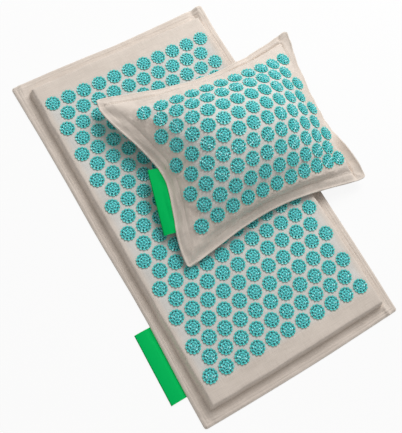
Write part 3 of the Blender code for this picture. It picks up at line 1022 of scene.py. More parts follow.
@dataclass
class Label:
    """A ribbon label sewn into a seam, bending at it.

    It arches and ripples between the seam and its free end. It may be skewed along the seam, shifted, raised
    towards its free end and twisted.
    """

    node: str
    joint: str
    holder: Body
    body: Body
    length: float
    width: float
    arch: float
    tuck: float = 0.012
    thickness: float = 0.0008
    ripple: float = 0.0005
    cell: float = 0.0028
    under: float = 0.0016
    reach_out: float = 0.009
    ripple_waves: Pair = (38, 3.3)
    bend: Pair = (0.0005, -0.0045)
    skew: float = 0.0
    shift: float = 0.0
    raised: float = 0.0
    twist: float = 0.0

    def hinge(self) -> Matrix:
        """Find the seam's frame from the joint and the CAD label.

        Returns:
            The frame: Y along the seam, X into the product and Z up from the ribbon.
        """
        joint = joint_of(self.joint)
        origin, along = Vector(joint["pos_m"]), Vector(joint["axis"]).normalized()
        low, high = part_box(self.node)
        inward = origin - (low + high) / 2
        inward = (inward - inward.dot(along) * along).normalized()
        return stand(origin, inward, inward.cross(along))

    def tuck_in(self, points: Array, inward: Array, cover: Object) -> Array:
        """Lay the ribbon's tucked edge between the panels.

        Args:
            points: The ribbon's points.
            inward: How far each is inside the seam's line.
            cover: The upper panel.

        Returns:
            The points.
        """
        tree = surface_of(cover)
        share = ramp(inward, -0.003, 0.0005)
        for index in np.flatnonzero(inward > -self.reach_out):
            over = Vector((points[index, 0], points[index, 1], 1))
            hit = tree.ray_cast(over, Vector((0, 0, -1)))[0]
            if hit is None and share[index] > 0:
                hit = tree.find_nearest(Vector(points[index]))[0]
            if hit is not None:
                lower = hit.z - self.under
                points[index, 2] = min(lower, points[index, 2] + share[index] * (lower - points[index, 2]))
        return points

    def build(self, cover: Object) -> Object:
        """Build the ribbon, tucked in at the seam.

        Args:
            cover: The upper panel that it is sewn to.

        Returns:
            The ribbon.
        """
        reach = (self.width + self.tuck) / 2
        across = np.linspace(-reach, reach, round(2 * reach / self.cell) + 1)
        along = np.linspace(-self.length / 2, self.length / 2, round(self.length / self.cell) + 1)
        ribbon, flat = sheet_grid(f"{self.node}_ribbon", across, along)
        x, y = flat[:, 0] + self.tuck - reach, flat[:, 1]
        out = np.clip(-x / self.width, 0, 1)
        lift = self.arch * 4 * out * (1 - out) + self.ripple * out * (1 + wave(y, *self.ripple_waves))
        lift += out * self.width * (self.raised + self.twist * y / self.length)
        x = x + self.skew * y + self.shift
        move_points(ribbon, np.stack([x, y, lift], 1))
        hinge = self.hinge()
        ribbon.data.transform(hinge)
        move_points(ribbon, self.tuck_in(points_of(ribbon), x, cover))
        thicken(ribbon, self.thickness, 0)
        smooth(ribbon, 50)
        dress(ribbon, RibbonCloth(reach).material(), Slot.RIBBON, None, self.node)
        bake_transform(ribbon)
        return ribbon


@dataclass
class Zip:
    """A zip in its own frame: X along it, +Z into the product, zero at the cloth's outer face.

    A rounding is the radius of a block's upright corners and that of its other edges. The loop has its half
    width, its height and its rounding, the fork its reach and half width, and the hole its two ends and half
    width.
    """

    name: str
    origin: Vector
    turn: float
    length: float
    holder: Body
    slider: Body
    pull: Body
    hang: float
    gap: float = 0.0003
    roof: float = 0.005
    tape_width: float = 0.010
    tape_thickness: float = 0.0005
    margin: float = 0.004
    channel: float = 0.016
    channel_depth: float = 0.004
    wall: float = 0.001
    slot_width: float = 0.008
    teeth_gap: float = 0.001
    tooth: Vector = field(default_factory=lambda: Vector((0.0009, 0.0024, 0.0016)))
    tooth_pitch: float = 0.0015
    stop: float = 0.003
    park: float = 0.0215
    stop_rounding: Pair = (0.0006, 0.0003)
    slider_size: Vector = field(default_factory=lambda: Vector((0.010, 0.0072, 0.0009)))
    slider_rounding: Pair = (0.0022, 0.0002)
    loop: Triple = (0.0008, 0.0007, 0.0003)
    pull_size: Vector = field(default_factory=lambda: Vector((0.018, 0.0048, 0.001)))
    pull_rounding: Pair = (0.0011, 0.0002)
    fork: Pair = (0.003, 0.0011)
    hole: Triple = (0.0022, 0.0075, 0.0012)

    @property
    def frame(self) -> Matrix:
        """Return the zip's frame."""
        return Matrix.Translation(self.origin) @ Matrix.Rotation(self.turn, 4, "Z")

    @property
    def teeth_low(self) -> float:
        """Return the height of the teeth's outer face."""
        return self.roof - self.tooth.z

    def cut(self, panel: Object) -> None:
        """Cut the zip's channel and slot into a panel, and give it the channel's walls.

        Args:
            panel: The panel.
        """
        half, side, slot = self.length / 2, self.channel / 2, self.slot_width / 2
        long = half + self.margin
        wall, out = self.wall, 2 * self.wall
        boxes = (("UNION", (-long - wall, -side - wall, 0), (long + wall, side + wall, self.roof)),
                 ("DIFFERENCE", (-long, -side, -out), (long, side, self.channel_depth)),
                 ("DIFFERENCE", (-half, -slot, -out), (half, slot, self.roof + out)))
        for operation, low, high in boxes:
            tool = self.block("zip_tool", low, high)
            tool.data.transform(self.frame)
            combine(panel, tool, operation)

    @staticmethod
    def block(name: str, low: Sequence[float], high: Sequence[float], corner: float = 0,
              edge: float = 0) -> Object:
        """Add a block between two corners, with rounded upright corners and softened edges.

        Args:
            name: Its name.
            low: Its lowest corner.
            high: Its highest corner.
            corner: The radius of its upright corners.
            edge: The radius of its other edges.

        Returns:
            The block.
        """
        low, high = Vector(low), Vector(high)
        bpy.ops.mesh.primitive_cube_add(size=1, location=(low + high) / 2, scale=high - low)
        made = bpy.context.active_object
        made.name = name
        place_mesh(made)
        middle, quarter = (low.z + high.z) / 2, (high.z - low.z) / 4
        for radius, segments, upright in ((corner, 4, True), (edge, 2, False)):
            if radius:
                with editing(made, "EDGE"):
                    pick(made, "edges", lambda p: (abs(p.z - middle) < quarter) == upright)
                    bpy.ops.mesh.bevel(offset=radius, segments=segments, affect="EDGES")
        return made

    def build(self, tape: Material, teeth: Material, metal: Material) -> None:
        """Build the tapes, teeth, stops, slider and pull.

        Args:
            tape: The tapes' finish.
            teeth: The teeth's finish.
            metal: The metal's finish.
        """
        half = self.length / 2
        for side, sign in (("left", -1), ("right", 1)):
            self._tape(side, sign, tape)
            self._teeth(side, sign, teeth)
        for end, sign in (("top", 1), ("bottom", -1)):
            outer = sign * (half - self.gap)
            low, high = sorted((outer - sign * self.stop, outer))
            reach = self.teeth_gap / 2 + self.tooth.y
            stop = self.block(f"{self.name}_{end}_clip", (low, -reach, self.teeth_low),
                              (high, reach, self.roof), *self.stop_rounding)
            self._finish(stop, metal, Slot.METAL, self.holder, f"{self.name}_{end}_stop")
        self._slider(metal)
        self._pull(metal)

    def _finish(self, piece: Object, finish: Material, slot: Slot, body: Body,
                node: str) -> None:
        """Put a piece that was built in the zip's frame in place, and dress it."""
        piece.data.transform(self.frame)
        smooth(piece, 35)
        dress(piece, finish, slot, body, node)

    def _tape(self, side: str, sign: int, finish: Material) -> None:
        """Build one woven tape.

        Args:
            side: Its name's side.
            sign: The side of the teeth that it lies on, -1 or 1.
            finish: Its material.
        """
        long = self.length / 2 + self.margin
        across = np.linspace(0, self.tape_width, 9)
        along = np.linspace(-long, long, round(2 * long / 0.006) + 1)
        tape, flat = sheet_grid(f"{self.name}_{side}_woven_tape", along, across)
        y = sign * (self.teeth_gap / 2 + flat[:, 1])
        z = self.roof + self.gap + self.tape_thickness / 2 + 0 * y
        move_points(tape, np.stack([flat[:, 0], y, z], 1))
        if sign < 0:
            tape.data.flip_normals()
        thicken(tape, self.tape_thickness * 0.9, 0)
        self._finish(tape, finish, Slot.TAPE, self.holder, f"{self.name}_tape_{side}")

    def _teeth(self, side: str, sign: int, finish: Material) -> None:
        """Build one row of teeth.

        Args:
            side: Its name's side.
            sign: The side of the zip's middle that it lies on, -1 or 1.
            finish: Its material.
        """
        end = self.length / 2 - self.stop - 2 * self.gap
        inner = self.teeth_gap / 2
        low, high = sorted((sign * inner, sign * (inner + self.tooth.y)))
        tooth = self.block("tooth", (-self.tooth.x / 2, low, self.teeth_low),
                           (self.tooth.x / 2, high, self.roof), self.tooth.x / 3)
        shift = self.tooth_pitch / 4 * sign
        count = int((2 * end - self.tooth.x - abs(shift) * 2) / self.tooth_pitch) + 1
        first = -(count - 1) * self.tooth_pitch / 2 + shift
        places = [Matrix.Translation((first + n * self.tooth_pitch, 0, 0)) for n in range(count)]
        row = spread(f"{self.name}_{side}_coil", tooth, places, self.tooth)
        bpy.data.objects.remove(tooth)
        self._finish(row, finish, Slot.TEETH, self.holder, f"{self.name}_teeth_{side}")

    def _slider(self, finish: Material) -> None:
        """Build the slider: two plates, the wedge between them and the pull's loop.

        Args:
            finish: Its material.
        """
        park = self.length / 2 - self.park
        x, y, plate = self.slider_size.x / 2, self.slider_size.y / 2, self.slider_size.z
        top = self.roof + self.gap + self.tape_thickness + self.gap + plate
        low = self.teeth_low - self.gap
        wide, high, round_loop = self.loop
        web = self.teeth_gap / 2 - self.gap
        parts = [self.block("plate", (park - x, -y, face - plate), (park + x, y, face), *self.slider_rounding)
                 for face in (top, low)]
        parts += [
            self.block("wedge", (park + x / 2, -web, low - plate / 2), (park + x, web, top - plate / 2)),
            self.block("loop", (park - wide, -wide, low - plate - 2 * self.gap - high),
                       (park + wide, wide, low - plate / 2), round_loop),
        ]
        self._finish(join(f"{self.name}_runner", parts), finish, Slot.METAL, self.slider,
                     f"{self.name}_slider")

    def _pull(self, finish: Material) -> None:
        """Build the pull: a rounded tab, forked over the loop, with a hole at its end.

        Args:
            finish: Its material.
        """
        long, wide, thick = self.pull_size
        pivot = self.teeth_low - self.gap - self.slider_size.z - self.gap - thick / 2
        tab = self.block("tab", (-long, -wide / 2, -thick / 2), (thick / 2, wide / 2, thick / 2),
                         *self.pull_rounding)
        reach, slot = self.fork
        combine(tab, self.block("fork", (-reach, -slot, -thick), (reach, slot, thick)))
        start, end, slot = self.hole
        combine(tab, self.block("hole", (start - long, -slot, -thick), (end - long, slot, thick),
                                self.pull_rounding[0]))
        park = Vector((self.length / 2 - self.park, 0, pivot))
        tab.data.transform(Matrix.Translation(park) @ Matrix.Rotation(-self.hang, 4, "Y"))
        tab.name = f"{self.name}_tab"
        self._finish(tab, finish, Slot.METAL, self.pull, f"{self.name}_pull")


@dataclass
class MatCover:
    """The mat's cover: an upper panel with a sewn flange round a raised pad, and a lower panel.

    edge_keys and pad_keys give the upper panel's height over the distance from its edge, and the draws say
    how far each side is drawn in along it. A fold has its place across, its end, its height and its width.
    """

    half_x: float = 0.215
    half_y: float = 0.3675
    bow: float = 0.0025
    corner: float = 0.005
    pad_corner: float = 0.029
    seam: float = 0.022
    thickness: float = 0.001
    disc_puff: float = 0.0007
    draw_reach: float = 0.024
    draw_blur: float = 0.012
    fold_slant: float = 0.12
    curl: float = 0.0055
    curl_reach: float = 0.060
    corner_reach: float = 0.035
    coir_inset: float = 0.0285
    zip_middle: Pair = (0.0, -0.3)
    zip_room: Pair = (0.165, 0.014)
    zip_top: float = 0.0082
    pad_waver: Ripple = Ripple(24, 6.6, 0.0014)
    gathers: Ripple = Ripple(95, 2.5, 0.0010)
    dents: Ripple = Ripple(26, 7.1, 0.0009)
    fine_dents: Ripple = Ripple(75, 1.7, 0.0004)
    pressed_lines: Ripple = Ripple(330, 3.6, 0.0005)
    corner_creases: Ripple = Ripple(60, 4.2, 0.0016)
    edge_waver: Ripple = Ripple(22, 9.4, 0.0007)
    top_dents: Ripple = Ripple(45, 5.9, 0.0002)
    coir_lumps: Ripple = Ripple(60, 8.8, 0.0004)
    folds: tuple = ((0.1925, -1, 0.0044, 0.0052), (0.1890, 1, -0.0052, 0.0075), (0.2035, 1, 0.0016, 0.0036),
                    (-0.1960, -1, -0.0012, 0.0050), (-0.1990, 1, 0.0014, 0.0040))
    edge_keys: Keys = ((0, 0.0016), (0.0008, 0.0031), (0.002, 0.0042), (0.004, 0.0048), (0.0058, 0.0050),
                       (0.0070, 0.0041), (0.0082, 0.0049), (0.0112, 0.0050), (0.0124, 0.0040),
                       (0.0136, 0.0046), (1, 0.0046))
    pad_keys: Keys = ((0, 0), (0.0080, 0), (0.0190, -0.0010), (0.0215, -0.0016), (0.0232, -0.0010),
                      (0.0244, 0.0030), (0.0254, 0.0085), (0.0264, 0.0135), (0.0278, 0.0168),
                      (0.0300, 0.0181), (0.0350, 0.0184), (1, 0.0184))
    left_draw: Keys = ((-0.37, -0.0005), (-0.30, 0.0002), (-0.25, 0.0015), (-0.20, 0.003), (-0.165, 0.004),
                       (-0.10, 0.004), (-0.05, 0.0028), (0, 0.0012), (0.05, 0.0006), (0.15, 0.0007),
                       (0.20, 0.0001), (0.25, -0.0003), (0.30, -0.0015), (0.37, -0.003))
    right_draw: Keys = ((-0.37, 0.003), (-0.30, 0.0014), (-0.20, 0.0004), (0.10, 0.0004), (0.28, 0.0018),
                        (0.37, 0.0008))
    front_draw: Keys = ((-0.21, -0.0009), (-0.10, -0.0008), (0.05, -0.0009), (0.10, -0.0003), (0.21, 0.0001))
    back_draw: Keys = ((-0.21, -0.0004), (-0.15, -0.0004), (-0.10, 0.0005), (-0.05, 0.0015), (0, 0.0033),
                       (0.05, 0.0022), (0.10, 0.0003), (0.15, -0.0021), (0.18, -0.0035), (0.21, -0.0045))

    @property
    def halves(self) -> Array:
        """Return half the mat's width and half its length."""
        return np.array([self.half_x, self.half_y])

    def outline(self, flat: Array) -> tuple[Array, Array]:
        """Place flat points inside the mat's outline.

        Args:
            flat: The points of a rectangle.

        Returns:
            Their places.
        """
        x, y = round_corners(flat, self.halves, self.corner).T
        share = np.clip(x / (self.half_x - self.corner), -1, 1)
        moved = [x, y * (1 + self.bow * (1 - share * share) / self.half_y)]
        pairs = ((x, y, self.left_draw, self.right_draw), (y, x, self.front_draw, self.back_draw))
        for axis, (place, along, low, high) in enumerate(pairs):
            near = 1 - ramp(self.halves[axis] - abs(place), 0, self.draw_reach)
            draw = np.where(place < 0, rounded_profile(along, low, self.draw_blur),
                            -rounded_profile(along, high, self.draw_blur))
            moved[axis] = moved[axis] + draw * near
        return moved[0], moved[1]

    def inset(self, flat: Array, radius: float) -> Array:
        """Return how far in from the edge flat points lie, for a given corner radius."""
        near = self.halves - abs(flat)
        into = np.maximum(radius - near, 0)
        return np.where((into > 0).all(1), radius - np.hypot(*into.T), near.min(1))

    def height(self, flat: Array) -> Array:
        """Work out the upper panel's height.

        Args:
            flat: Places in the flat rectangle.

        Returns:
            The heights.
        """
        x, y = flat.T
        near_x, near_y = (self.halves - abs(flat)).T
        inset = self.inset(flat, self.pad_corner)
        edge = rounded_profile(self.inset(flat, self.corner), self.edge_keys, 0.0005)
        pad = rounded_profile(inset - self.pad_waver.over(x, y), self.pad_keys, 0.0010)
        along = np.where(near_x < near_y, y, x)
        gather = bell(inset, 0.006, self.seam + 0.003) * self.gathers.over(along, inset * 0.25)
        corners = np.exp(-np.hypot(near_x, near_y) / self.corner_reach)
        uneven = (self.dents.over(x, y) + self.fine_dents.over(x, y)
                  + self.pressed_lines.over(along * 0.12, inset)
                  + self.corner_creases.over(x + y, x - y) * corners)
        flange = 1 - ramp(inset, 0.016, 0.024)
        return edge + pad + gather + flange * (uneven * ramp(inset, 0, 0.004) + self.pinches(x, y))

    def pinches(self, x: Array, y: Array) -> Array:
        """Return the heights of the folds at the flange's corners.

        Args:
            x: Places across the mat.
            y: Places along it.

        Returns:
            The heights.
        """
        total = np.zeros(len(x))
        for across, end, high, wide in self.folds:
            line = across + self.fold_slant * (abs(y) - self.half_y)
            total += high * bell(x, wide, line) * ramp(y * end, self.half_y - 0.045, self.half_y - 0.022)
        tip = self.half_x + self.half_y
        return total + self.curl * ramp(x + y, tip - self.curl_reach, tip)

    def build_upper(self, discs: Sequence[Matrix], radius: float, finish: Material) -> Object:
        """Build the upper panel.

        Args:
            discs: Where the discs lie on it.
            radius: A disc's radius.
            finish: Its material.

        Returns:
            The panel.
        """
        steps = ((0.0016, 0.0004), (0.0052, 0.0018), (0.0148, 0.0008), (0.0205, 0.0019), (0.0270, 0.0005),
                 (0.033, 0.0015), (0.046, 0.0026), (1, 0.0040))
        panel, flat = edged_grid("mat_upper_cover", self.halves, steps)
        x, y = self.outline(flat)
        inset = self.inset(flat, self.pad_corner)
        waver = abs(self.edge_waver.over(x, y) * (1 - ramp(inset, 0.004, 0.02)))
        points = np.stack([x - np.sign(x) * waver, y - np.sign(y) * waver, self.height(flat)], 1)
        points = press_discs(points, discs, radius, self.disc_puff)
        points[:, 2] += self.top_dents.over(x, y) * ramp(inset, 0.03, 0.05)
        move_points(panel, points)
        thicken(panel, self.thickness)
        smooth(panel, 70)
        dress(panel, finish, Slot.LINEN, Body.MAT, "mat_top_panel")
        return panel

    def build_lower(self, zipper: Zip, finish: Material) -> Object:
        """Build the lower panel with the zip's opening.

        Args:
            zipper: The zip.
            finish: Its material.

        Returns:
            The panel.
        """
        steps = ((0.0012, 0.0006), (0.006, 0.0024), (0.026, 0.005), (1, 0.0075))
        panel, flat = edged_grid("mat_lower_cover", self.halves, steps)
        x, y = self.outline(flat)
        inset = self.inset(flat, self.corner)
        edge = 1 - ramp(inset, 0, 0.002)
        lift = 0.85 * np.maximum(self.pinches(*flat.T), 0) * (1 - ramp(inset, 0.010, 0.020))
        move_points(panel, np.stack([x, y, self.thickness + 0.0002 * edge + lift], 1))
        thicken(panel, self.thickness)
        zipper.cut(panel)
        smooth(panel, 40)
        dress(panel, finish, Slot.LINEN, Body.MAT, "mat_bottom_panel")
        return panel

    def build_core(self, finish: Material) -> Object:
        """Build the coir slab inside, with its soft sides and rough faces.

        Args:
            finish: Its material.

        Returns:
            The slab.
        """
        halves = self.halves - self.coir_inset
        slab, flat = edged_grid("mat_coir_slab", halves, ((0.004, 0.002), (0.02, 0.004), (1, 0.009)))
        near = (halves - abs(flat)).min(1)
        top = 0.0145 + 0.0062 * ramp(near, -0.002, 0.016) + self.coir_lumps.over(*flat.T)
        move_points(slab, np.column_stack([flat, top]))
        thicken(slab, self.thickness)
        points = points_of(slab)
        low = np.where(near < 0.001, 0.004, 0.0017)
        over_zip = (abs(flat - np.array(self.zip_middle)) < np.array(self.zip_room)).all(1)
        low[over_zip] = self.zip_top
        points[len(flat):] = np.column_stack([flat, low])
        move_points(slab, points)
        smooth(slab, 60)
        dress(slab, finish, Slot.COIR, Body.MAT, "mat_coir_core")
        return slab


@dataclass(frozen=True)
class Reach:
    """How far in places on the pillow lie, stretched to put the sewn line a flange's width in.

    x and y are from the sides and the ends, near is from the nearer of them, and along is the place along it.
    """

    x: Array
    y: Array
    near: Array
    along: Array


@dataclass
class PillowCover:
    """The pillow's cover: two panels sewn inside a flange, crowned over loose hulls.

    Its places are s across and t along, from -1 to 1. The corners are shares of its length and depth, with a
    height. A draw says how far an edge's middle is drawn in and raised, and how much of that keeps to the
    middle. The flanges' widths change along the left and the front. A bell has its width and its middle.
    """

    origin: Vector = field(default_factory=lambda: Vector((0.110, 0.062, 0.028)))
    length: float = 0.415
    depth: float = 0.355
    flange: float = 0.024
    gap: float = 0.0003
    thickness: float = 0.001
    drop: float = 0.0126
    crown_height: float = 0.068
    crown_bends: tuple[float, float, float] = (2.5, 1.92, 0.81)
    crown_tilt: Pair = (-0.17, 0.06)
    flat_share: float = 0.84
    back_left: Triple = (-0.500, 0.529, 0.027)
    back_right: Triple = (0.532, 0.465, 0.0)
    front_right: Triple = (0.466, -0.508, -0.012)
    front_left: Triple = (-0.513, -0.486, 0.004)
    left_draw: tuple = (0.0395, 0, 0.012, 2.6)
    right_draw: tuple = (-0.011, 0, -0.0107, 1.8)
    front_draw: tuple = (0, 0.024, 0.0127, 1.6)
    back_draw: tuple = (0, -0.032, 0.0014, 1.3)
    tip_radius: float = 0.007
    puff: float = 0.0026
    puff_rise: Pair = (0.0110, 1.3)
    shoulder: float = 0.0048
    shoulder_bell: Pair = (0.0110, 0.0125)
    seam_lift: float = 0.0046
    seam_bell: Pair = (0.0145, 0.006)
    closed_corner: Pair = (0.85, 0.078)
    rim: float = 0.0016
    left_bulge: float = 0.0046
    curl: Triple = (0.0010, 0.0, 0.0115)
    front_curl: Pair = (0.30, 0.58)
    back_curl: Pair = (0.72, 0.90)
    weak_curl: float = 0.6
    left_flange: Pair = (0.0152, -0.0027)
    right_flange: float = 0.0195
    front_flange: Pair = (0.0175, 0.0015)
    back_flange: float = 0.0170
    right_valley: Pair = (0.0045, 0.0085)
    back_valley: float = 0.0034
    seam_corner: float = 0.030
    groove: float = 0.0034
    groove_width: float = 0.0027
    groove_lip: float = 0.0030
    lip_bell: Pair = (0.0034, -0.0058)
    left_groove: float = 0.0007
    ray_height: float = 0.0010
    crease: float = 0.0034
    crease_width: float = 0.0035
    crease_length: float = 0.022
    disc_puff: float = 0.0008
    seam_waver: Ripple = Ripple(20, 8.3, 0.0012)
    puckers: Ripple = Ripple(44, 3.9, 0.0016)
    sharpness: Ripple = Ripple(14, 4.4, 0.3)
    waves: Ripple = Ripple(34, 6.4, 0.0020)
    fine_waves: Ripple = Ripple(85, 2.2, 0.0007)
    hull_lumps: Ripple = Ripple(130, 5.3, 0.0009)
    fill_inset: float = 0.009
    zip_middle: Pair = (0.125, -0.0073)
    zip_room: Pair = (0.013, 0.104)
    zip_top: float = 0.0085

    @property
    def halves(self) -> Array:
        """Return half the pillow's length and half its depth."""
        return np.array([self.length, self.depth]) / 2

    def seams(self) -> Pair:
        """Return the seams' places between the middle, 0, and the edges, 1."""
        return 1 - 2 * self.flange / self.length, 1 - 2 * self.flange / self.depth

    def middle(self, s: Array, t: Array) -> Array:
        """Work out the surface midway between the panels.

        Args:
            s: Places across.
            t: Places along.

        Returns:
            Its points, in the pillow's frame.
        """
        size = np.array([self.length, self.depth, 1])
        corners = (self.front_left, self.front_right, self.back_left, self.back_right)
        front_left, front_right, back_left, back_right = (np.array(corner) * size for corner in corners)
        u, v = ((1 + s) / 2)[:, None], ((1 + t) / 2)[:, None]
        left = front_left + (back_left - front_left) * v + self._draw(t, self.left_draw)
        left[:, 0] -= self.left_bulge * ramp(t, -0.15, 0.25) * (1 - ramp(t, 0.85, 1))
        right = front_right + (back_right - front_right) * v + self._draw(t, self.right_draw)
        low = front_left + (front_right - front_left) * u
        high = back_left + (back_right - back_left) * u
        front, back = low + self._draw(s, self.front_draw), high + self._draw(s, self.back_draw)
        seam_s, seam_t = self.seams()
        outside = np.maximum((abs(s) - seam_s) / (1 - seam_s), (abs(t) - seam_t) / (1 - seam_t))
        points = left + (right - left) * u + front + (back - front) * v - (low + (high - low) * v)
        points[:, 2] += self.drop * (1 - np.maximum(outside, 0))
        share = np.clip(1 - (1 - s) * self.length / 2 / self.right_flange, 0, 1) * self.curled(t)
        return points + share[:, None] * np.array(self.curl)

    def curled(self, t: Array) -> Array:
        """Return how far the right side's flange has curled up, from 0 to 1."""
        front = ramp(-t, *self.front_curl) * (1 - self.weak_curl * ramp(-t, 0.82, 1))
        return np.maximum(front, self.weak_curl * ramp(t, *self.back_curl))

    @staticmethod
    def _draw(place: Array, draw: tuple) -> Array:
        """Work out how far an edge is drawn in and raised between its corners.

        Args:
            place: Where along the edge, from -1 to 1.
            draw: How far at its middle, and how much of that keeps to the middle, where 1 spreads it as a
                parabola.

        Returns:
            The moves.
        """
        *most, bend = draw
        arch = 1 - place * place
        return np.stack([arch ** bend, arch ** bend, arch], 1) * np.array(most)

    def crown(self, s: Array, t: Array) -> Array:
        """Work out how far the filling lifts the upper panel.

        Args:
            s: Places across.
            t: Places along.

        Returns:
            The heights.
        """
        a, b = self.shares(s, t)
        bend_a, bend_b, bend = self.crown_bends
        full = np.maximum(1 - abs(a) ** bend_a, 0) * np.maximum(1 - abs(b) ** bend_b, 0)
        return self.crown_height * full ** bend * (1 + self.crown_tilt[0] * a + self.crown_tilt[1] * b)

    def shares(self, s: Array, t: Array) -> tuple[Array, Array]:
        """Return places as shares of the way from the middle to the seams."""
        seam_s, seam_t = self.seams()
        return np.clip(s / seam_s, -1, 1), np.clip(t / seam_t, -1, 1)

    def upper(self, s: Array, t: Array) -> Array:
        """Return the upper panel's outer face, in the pillow's frame."""
        points = self.middle(s, t)
        points[:, 2] += self.gap / 2 + self.thickness + self.crown(s, t)
        return points

    def lower(self, s: Array, t: Array) -> Array:
        """Work out the lower panel's outer face, flat where it lies on the discs.

        Args:
            s: Places across.
            t: Places along.

        Returns:
            Its points, in the pillow's frame.
        """
        points = self.middle(s, t)
        rise = [np.minimum(1, (1 - abs(c)) / (1 - self.flat_share)) for c in self.shares(s, t)]
        share = np.prod([ramp(r, 0, 1) for r in rise], 0)
        high = points[:, 2] - self.gap / 2 - self.thickness - self.valley(s, t)
        points[:, 2] = high + share * (self.gap - high)
        return points

    def grid(self, name: str, fine: float, wide: float) -> tuple[Object, Array, Array]:
        """Add a flat panel.

        Args:
            name: Its name.
            fine: The cells' size at the seam.
            wide: Their size in the middle.

        Returns:
            The panel, and its points' places from -1 to 1.
        """
        steps = ((0.004, 0.001), (0.009, 0.0022), (self.flange, fine), (self.flange + 0.010, fine * 1.5),
                 (1, wide))
        panel, flat = edged_grid(name, self.halves, steps)
        s, t = (round_corners(flat, self.halves, self.tip_radius) / self.halves).T
        return panel, s, t

    def flange_widths(self, s: Array, t: Array) -> tuple[Array, Array]:
        """Return the flange's width at the nearer side and at the nearer end."""
        across = np.where(s < 0, self.left_flange[0] + self.left_flange[1] * t, self.right_flange)
        deep = np.where(t < 0, self.front_flange[0] + self.front_flange[1] * s, self.back_flange)
        return across, deep

    def edge_reach(self, s: Array, t: Array) -> Reach:
        """Measure how far in from the sides and ends places lie.

        Args:
            s: Places across.
            t: Places along.

        Returns:
            The reach of each.
        """
        reaches = []
        for place, half, width in zip((s, t), self.halves, self.flange_widths(s, t)):
            near = (1 - abs(place)) * half
            reaches.append(np.where(near < width, near * self.flange / width, near + self.flange - width))
        x, y = reaches
        return Reach(x, y, np.minimum(x, y), np.where(x < y, t * self.depth, s * self.length) / 2)

    def valley(self, s: Array, t: Array) -> Array:
        """Work out how deep the sewn line has sunk between the filling and the curled flange.

        Args:
            s: Places across.
            t: Places along.

        Returns:
            The depths.
        """
        reach = self.edge_reach(s, t)
        sunk = []
        for off, other, side in ((reach.x, reach.y, s > 0), (reach.y, reach.x, t > 0)):
            off = off - self.flange
            across = np.where(off < 0, np.clip(1 + off / self.flange, 0, 1), bell(off, 0.006))
            sunk.append(across * side * (0.25 + 0.75 * ramp(other, 0, 0.018)))
        plain, curled = self.right_valley
        return np.maximum(sunk[0] * (plain + curled * self.curled(t)), sunk[1] * self.back_valley)

    def folds(self, s: Array, t: Array) -> Array:
        """Work out how far the cloth's gathers and folds stand off the panel's smooth form.

        Args:
            s: Places across.
            t: Places along.

        Returns:
            The heights.
        """
        x, y = s * self.length / 2, t * self.depth / 2
        reach = self.edge_reach(s, t)
        near, along = reach.near, reach.along
        into = np.maximum(self.seam_corner - np.stack([reach.x, reach.y], 1), 0)
        soft = np.where((into > 0).all(1), self.seam_corner - np.hypot(*into.T), near)
        off = soft - self.flange - self.seam_waver.over(along, near * 0.1)
        gather = np.exp(-np.maximum(off, 0) / 0.020) * ramp(near, self.flange - 0.005, self.flange + 0.005)
        puckers = self.puckers.over(along, near * 0.15) * gather
        sharp = np.clip(0.8 + 1.2 * x / self.length + self.sharpness.over(along, near * 0.1), 0.05, 1)
        sharp *= np.where(reach.y < reach.x, ramp(y, -0.01, 0.01), 0.3 * ramp(x, -0.02, 0.02))
        line = (-self.left_groove * ramp(x, -self.length / 2, 0) * bell(off, 0.0050)
                - self.groove * sharp * bell(off, self.groove_width)
                + self.groove_lip * sharp * bell(off, *self.lip_bell))
        far = np.hypot(reach.x, reach.y)
        window = ramp(far, 0.030, 0.055) * (1 - ramp(far, 0.075, 0.13))
        fan = np.arctan2(reach.y, reach.x) * 9 + 1.5 * np.sign(x) + 2.2 * np.sign(y)
        return puckers + line + self.ray_height * np.sin(fan) * window + self.flange_waves(s, t)

    def loft(self, s: Array, t: Array) -> Array:
        """Work out how far the filling near the sewn line lifts the upper panel over its plain form.

        Args:
            s: Places across.
            t: Places along.

        Returns:
            The heights.
        """
        reach = self.edge_reach(s, t)
        inside = np.maximum(reach.near - self.flange, 0)
        closed, width = self.closed_corner
        open_side = 1 - closed * bell(np.hypot(reach.x, reach.y), width)
        lofted = np.clip(1 - self.crown(s, t) / self.crown_height, 0, 1)
        puff = self.puff * (1 - np.exp(-(inside / self.puff_rise[0]) ** self.puff_rise[1])) * lofted
        shoulder = self.shoulder * bell(inside, *self.shoulder_bell) * ramp(inside, -0.002, 0.012)
        plump = 1 - ramp(-s, 0.20, 0.75)
        even = (1 - 0.75 * ramp(s, -0.6, 0.5)) * (1 - 0.70 * ramp(abs(t), 0.25, 0.65))
        seam = self.seam_lift * even * bell(reach.near - self.flange, *self.seam_bell)
        return (puff + shoulder) * open_side * plump + seam * (0.45 + 0.55 * open_side)

    def flange_waves(self, s: Array, t: Array) -> Array:
        """Work out how far the flange's two layers together stand off its smooth form.

        Args:
            s: Places across.
            t: Places along.

        Returns:
            The heights.
        """
        x, y = s * self.length / 2, t * self.depth / 2
        reach = self.edge_reach(s, t)
        edge = 1 - ramp(reach.near, self.flange * 0.7, self.flange)
        waves = self.waves.over(reach.along, reach.near * 0.6) + self.fine_waves.over(x, y)
        from_side, from_end = self.length / 2 - x, self.depth / 2 - y
        corner = np.exp(-np.hypot(from_side, from_end) / self.crease_length)
        crease = self.crease * bell(from_side - from_end, self.crease_width) * corner
        return waves * edge - crease * (1 - ramp(reach.near, self.flange, self.flange + 0.012))

